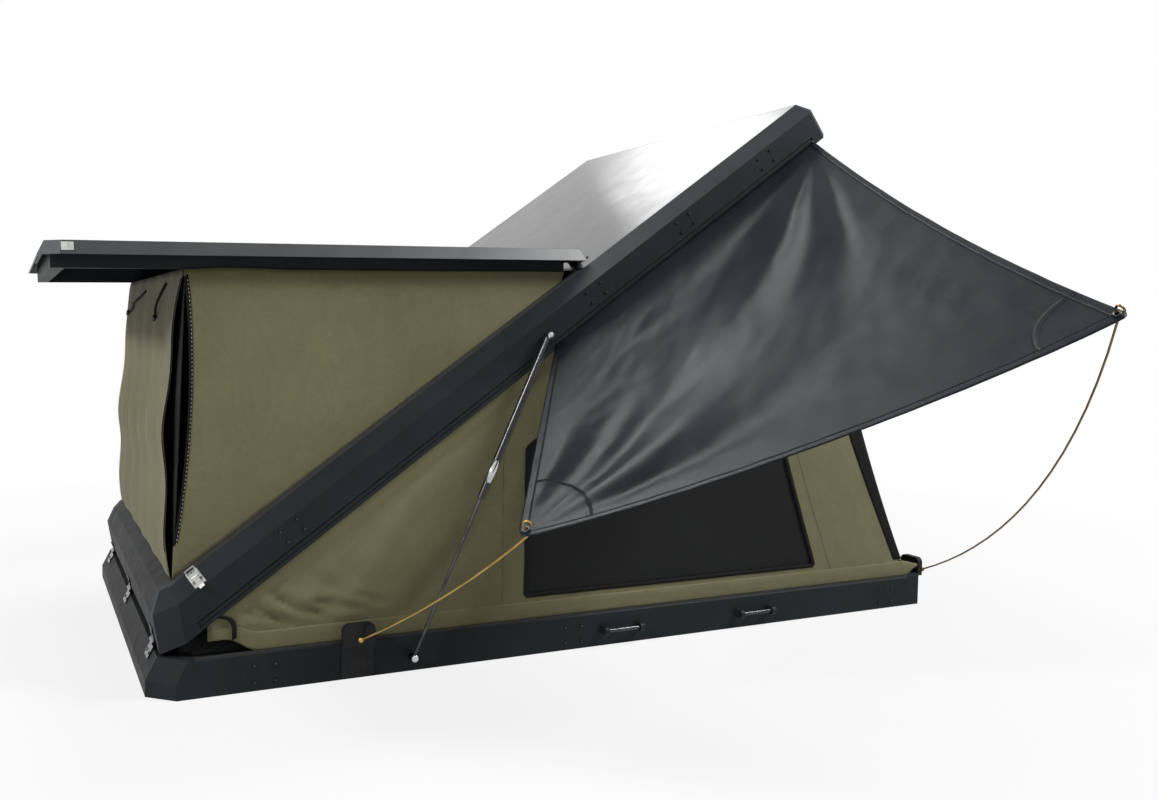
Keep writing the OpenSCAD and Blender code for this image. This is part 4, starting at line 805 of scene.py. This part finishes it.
def wallRun(a, b, out, side=-1):
    return [lowerAt(x, z, side, out) for x, z in flatRun(a, b)]


def rearRun(a, b, out):
    return [rearAt(u, v, out) for u, v in flatRun(a, b)]


def makeWindowTrim():
    hole = windowCorners(-0.002)
    bm = bmesh.new()
    for k in range(4):
        a, b = hole[k], hole[(k + 1) % 4]
        way = Vector((b[0] - a[0], 0, b[1] - a[1])).normalized()
        wide = trim["rearBind"] if k == 1 else trim["bindWide"]
        for side in (-1, 1):
            layTape(bm, wallRun(a, b, trim["tapeOut"], side), Vector((0, 1, 0)).cross(way), wide)
    door = trim["rearDoor"]                     # zip of the closed rear door
    slope = Vector((lowerWall["head"][0] - lowerWall["end"], 0, lowerWall["head"][1] - shell["railTop"]))
    for k in range(4):
        a, b = door[k], door[(k + 1) % 4]
        across = slope if a[1] == b[1] else (0, 1, 0)
        layTape(bm, rearRun(a, b, trim["tapeOut"]), across, trim["bindWide"])
    foot = (lowerWall["end"], shell["railTop"] + 0.052)
    head = (lowerWall["head"][0] + 0.006, lowerWall["head"][1] - 0.02)

    def rearBand(u, v):
        narrow, broad = trim["rearBand"]
        wide = narrow + (broad - narrow) * smoothStep(0.0, 0.45, v)
        x, z = foot[0] + (head[0] - foot[0]) * v, foot[1] + (head[1] - foot[1]) * v
        return lowerAt(x - u * wide, z, side, trim["bandOut"])

    for side in (-1, 1):
        layGrid(bm, 4, 50, rearBand)
    bmesh.ops.recalc_face_normals(bm, faces=bm.faces[:])
    binding = keepPiece("windowBinding", bm, blackTape, "base")
    thicken(binding, trim["bindThick"])
    grown = windowCorners(0.06)
    runs = [wallRun((grown[1][0], window["sill"] - 0.012), (grown[2][0], grown[2][1] - 0.02), 0.0013)]
    grown = windowCorners(0.042)
    low = (grown[0][0] - 0.02, skirt["height"] + shell["railTop"])
    runs.append(wallRun(low, (grown[3][0] - 0.02, grown[3][1] - 0.03), trim["seamOut"]))
    for grow in (0.012, 0.042):
        grown = windowCorners(grow)
        runs += [wallRun(a, b, trim["seamOut"], 1) for a, b in zip(grown, grown[1:] + grown[:1])]
    outside = [((u - 0.5) * 1.05 + 0.5, (v - 0.47) * 1.04 + 0.47) for u, v in door]
    runs += [rearRun(a, b, trim["seamOut"]) for a, b in zip(outside, outside[1:] + outside[:1])]
    seams = [stitch for run in runs for stitch in stitchRuns(run, trim["seamStep"])]
    darkSeams = tubeMesh("wallStitches", seams, trim["thread"], 0)
    darkSeams = keepMesh("wallStitches", darkSeams, blackTape, "base")
    return [binding, darkSeams]


lowerTrim = makeWindowTrim()


# webbing that comes from under the lid at the front foot
def makeStrap():
    line = ((-0.954, 0.172), (-0.944, 0.167), (-0.931, 0.157), (-0.922, 0.144), (-0.919, 0.128),
            (-0.919, 0.112), (-0.919, 0.092))
    bm = bmesh.new()
    layTape(bm, [lowerAt(x, z, -1, trim["strapOut"]) for x, z in line], (0.9, 0, 0.43), trim["bindWide"])
    strap = keepPiece("footStrap", bm, blackTape, "base")
    thicken(strap, trim["strapThick"])
    return strap


lowerTrim.append(makeStrap())


def makeZips():
    bm = bmesh.new()
    count = 60
    low, high = upperWall["zipSpan"]
    steps = [low + (high - low) * k / count for k in range(count + 1)]
    free = [frontAt(0.004, t, 0.0012) for t in steps]
    layTape(bm, free, (0, 1, 0), trim["zipTape"])
    corners = upperCorners()
    (x0, z0), (x1, z1) = corners[0], corners[3]
    wall = [upperAt(x0 + (x1 - x0) * t + 0.005, z0 + (z1 - z0) * t, -1, 0.0014) for t in steps]
    layTape(bm, wall, lidAlong, trim["zipTape"])
    bmesh.ops.recalc_face_normals(bm, faces=bm.faces[:])
    tape = keepPiece("cornerZipTape", bm, blackTape, "lid")
    thicken(tape, trim["zipThick"])
    dots = stitchRuns([p + Vector((-0.001, 0.005, 0)) for p in free], 0.009, 0.003)
    dots += stitchRuns([p + Vector((0.002, -0.001, 0)) for p in wall], 0.009, 0.003)
    thread = tubeMesh("cornerZipStitches", dots, trim["thread"], 0)
    thread = keepMesh("cornerZipStitches", thread, paleThread, "lid")
    ties = []
    for u, v, du, dv in ((0.2, 0.97, 0.04, -0.105), (0.58, 0.955, 0.26, -0.07)):
        steps = [k / 12 for k in range(13)]
        ties.append([frontAt(u + du * t, v + dv * t, 0.004 + 0.012 * sin(pi * t)) for t in steps])
    loops = keepMesh("rollTies", tubeMesh("rollTies", ties, 0.0032, 2), blackTape, "lid")
    ends = [Vector((-0.003, -0.012, 0.004)), Vector((-0.003, 0.012, -0.004))]
    toggles = tubeMesh("tieToggles", [[run[-1] + end for end in ends] for run in ties], 0.0048, 3)
    pegs = keepMesh("tieToggles", toggles, finishes["bracket_plastic"], "lid")
    return [tape, thread, loops, pegs]


upperTrim = makeZips()
print("window trim and zips made")

# hems, corner patches and stitches of the door flap
hem = {"wide": 0.016, "patch": 0.15, "thick": 0.0009, "out": 0.0014, "seamOut": 0.0022, "thread": 0.0005}


# a place on the flap by distance and angle from one outer corner
def flapPolar(corner, r, turn, out):
    u = r * cos(turn) / 1.15
    v = 1 - r * sin(turn) / (0.62 if corner == 0 else 1.2)
    return flapAt(u if corner == 0 else 1 - u, v, out)


def makeHems():
    bm = bmesh.new()
    w = hem["wide"]
    layGrid(bm, 4, 90, lambda u, v: flapAt(u * w, v, hem["out"]))
    layGrid(bm, 4, 90, lambda u, v: flapAt(1 - u * w, v, hem["out"]))
    layGrid(bm, 110, 4, lambda u, v: flapAt(u, 1 - v * w * 1.2, 0.0015))
    for corner in (0, 1):
        layGrid(bm, 16, 24, lambda u, v: flapPolar(corner, 0.002 + u * hem["patch"], v * pi / 2, 0.0011))
    edges = keepPiece("flapHems", bm, finishes["flap_grey"], "lid")
    thicken(edges, hem["thick"])
    runs = [[flapAt(u, k / 80, hem["seamOut"]) for k in range(81)] for u in (w * 1.05, 1 - w * 1.05)]
    runs.append([flapAt(k / 110, 1 - w * 1.25, hem["seamOut"]) for k in range(111)])
    for corner in (0, 1):
        for r in (hem["patch"] - 0.004, hem["patch"] - 0.011):
            runs.append([flapPolar(corner, r, pi / 2 * k / 30, 0.0021) for k in range(31)])
    dots = [stitch for run in runs for stitch in stitchRuns(run, 0.006, 0.004)]
    thread = tubeMesh("flapStitches", dots, hem["thread"], 0)
    return [edges, keepMesh("flapStitches", thread, finishes["flap_grey"], "lid")]


flapTrim = makeHems()
print("flap hems made")

# bright band and end nuts on the near gas strut
strut = {"foot": (-0.515, 0.037), "head": (-0.173161, 0.79723), "y": 0.7099, "band": (0.445, 0.502),
         "radius": 0.0099, "thick": 0.0006, "nutOut": 0.7196,
         "nutRings": ((0.003, -0.001), (0.003, 0.0002), (0.008, 0.0002), (0.008, 0.0016), (0.0064, 0.003),
                      (0.0034, 0.0038))}


# a turned head: rings of radius and height along one direction
def turnHead(bm, at, out, rings):
    at, out = Vector(at), Vector(out)
    turn = Matrix.Translation(at) @ out.to_track_quat("Z", "Y").to_matrix().to_4x4()
    verts = bmesh.ops.create_circle(bm, segments=24, radius=rings[0][0], matrix=turn)["verts"]
    bmesh.ops.translate(bm, vec=out * rings[0][1], verts=verts)
    rim = list({e for v in verts for e in v.link_edges})
    for wide, rise in rings[1:]:
        rim, fresh = growRim(bm, rim)
        for vert in fresh:
            flat = vert.co - at - out * (vert.co - at).dot(out)
            vert.co = at + flat.normalized() * wide + out * rise
    bmesh.ops.edgeloop_fill(bm, edges=rim)


def makeStrutBands():
    foot = Vector((strut["foot"][0], -strut["y"], strut["foot"][1]))
    way = (Vector((strut["head"][0], -strut["y"], strut["head"][1])) - foot).normalized()
    low, high = strut["band"]
    turn = way.to_track_quat("Z", "Y").to_matrix().to_4x4()
    bm = bmesh.new()
    bmesh.ops.create_cone(bm, cap_ends=False, segments=40, radius1=strut["radius"], radius2=strut["radius"],
                          depth=high - low, matrix=Matrix.Translation(foot + way * (low + high) / 2) @ turn)
    band = keepPiece("strutBands", bm, brightSteel, "lid_strut_barrels")
    thicken(band, strut["thick"], 1.0)
    for name, end, body in (("strutFootNuts", strut["foot"], "lid_strut_rods"),
                            ("strutHeadNuts", strut["head"], "lid")):
        bm = bmesh.new()
        turnHead(bm, (end[0], -strut["nutOut"], end[1]), (0, -1, 0), strut["nutRings"])
        bmesh.ops.recalc_face_normals(bm, faces=bm.faces[:])
        keepPiece(name, bm, brightSteel, body, False)


makeStrutBands()
print("strut bands made")

letFold("lower", *lowerPieces.values())
letFold("upper", *upperPieces.values())
letFold("flap", flapPiece, flapRings, *flapTrim)
letFold("lower", *lowerTrim)
letFold("upper", *upperTrim)


# floor, world and lamps
studio = {"floor": 40.0, "fade": (1.7, 3.2), "white": 0.82, "sky": 0.17,
          "key": 184, "side": 245, "top": 110, "back": 13}


# 1 where the camera looks straight, by a mirror or through, so that the ground is plain white there
def seenRays(tree):
    rays = addNode(tree, "LightPath").outputs
    seen = rays["Is Camera Ray"]
    for kind in ("Is Glossy Ray", "Is Transmission Ray"):
        seen = addNode(tree, "Math", {"operation": "MAXIMUM"}, ins=[seen, rays[kind]]).outputs[0]
    return seen


def makeStudio():
    bm = bmesh.new()
    bmesh.ops.create_grid(bm, x_segments=2, y_segments=2, size=studio["floor"] / 2)
    bmesh.ops.translate(bm, vec=(0, 0, -0.0008), verts=bm.verts[:])
    mesh = bpy.data.meshes.new("paleFloor")
    bm.to_mesh(mesh)
    bm.free()
    floor = bpy.data.objects.new("paleFloor", mesh)
    scene.collection.objects.link(floor)
    mat, tree, shader = newFinish("paleFloor")
    shader.inputs["Base Color"].default_value = (0.6, 0.6, 0.6, 1)
    shader.inputs["Roughness"].default_value = 0.9
    light = addNode(tree, "Emission", Strength=1.0)
    seen = seenRays(tree)
    away = addNode(tree, "VectorMath", {"operation": "LENGTH"}, ins=[objectCoords(tree)]).outputs["Value"]
    plainness = addNode(tree, "MapRange", ins=[away, *studio["fade"], studio["white"], 1.0]).outputs[0]
    seen = addNode(tree, "Math", {"operation": "MULTIPLY"}, ins=[seen, plainness]).outputs[0]
    mix = addNode(tree, "MixShader", ins=[seen, shader.outputs[0], light.outputs[0]])
    tree.links.new(mix.outputs[0], tree.nodes["Material Output"].inputs["Surface"])
    mesh.materials.append(mat)
    world = bpy.data.worlds.new("studioSky")
    scene.world = world
    world.use_nodes = True
    tree = world.node_tree
    plain = tree.nodes["Background"]
    plain.inputs["Color"].default_value = (1, 1, 1, 1)
    plain.inputs["Strength"].default_value = studio["sky"]
    white = addNode(tree, "Background", Color=(1, 1, 1, 1), Strength=1.0)
    seen = seenRays(tree)
    mix = addNode(tree, "MixShader", ins=[seen, plain.outputs[0], white.outputs[0]])
    tree.links.new(mix.outputs[0], tree.nodes["World Output"].inputs["Surface"])
    for name, at, aimAt, size, power in (
            ("keyLamp", (-5.0, -2.0, 3.5), (0, -0.2, 0.6), 0.7, studio["key"]),
            ("sideLamp", (2.8, -2.3, 4.2), (-0.2, -0.6, 0.7), 1.5, studio["side"]),
            ("topLamp", (-1.0, 1.25, 3.7), (-0.1, -1.0, 0.6), 1.2, studio["top"]),
            ("backLamp", (1.9, 3.6, 3.75), (0.35, -0.45, 1.25), 1.2, studio["back"])):
        data = bpy.data.lights.new(name, "AREA")
        data.shape = "SQUARE"
        data.size = size
        data.energy = power
        lamp = bpy.data.objects.new(name, data)
        scene.collection.objects.link(lamp)
        lamp.location = at
        lamp.rotation_euler = (Vector(aimAt) - Vector(at)).to_track_quat("-Z", "Y").to_euler()


makeStudio()
print("studio made")
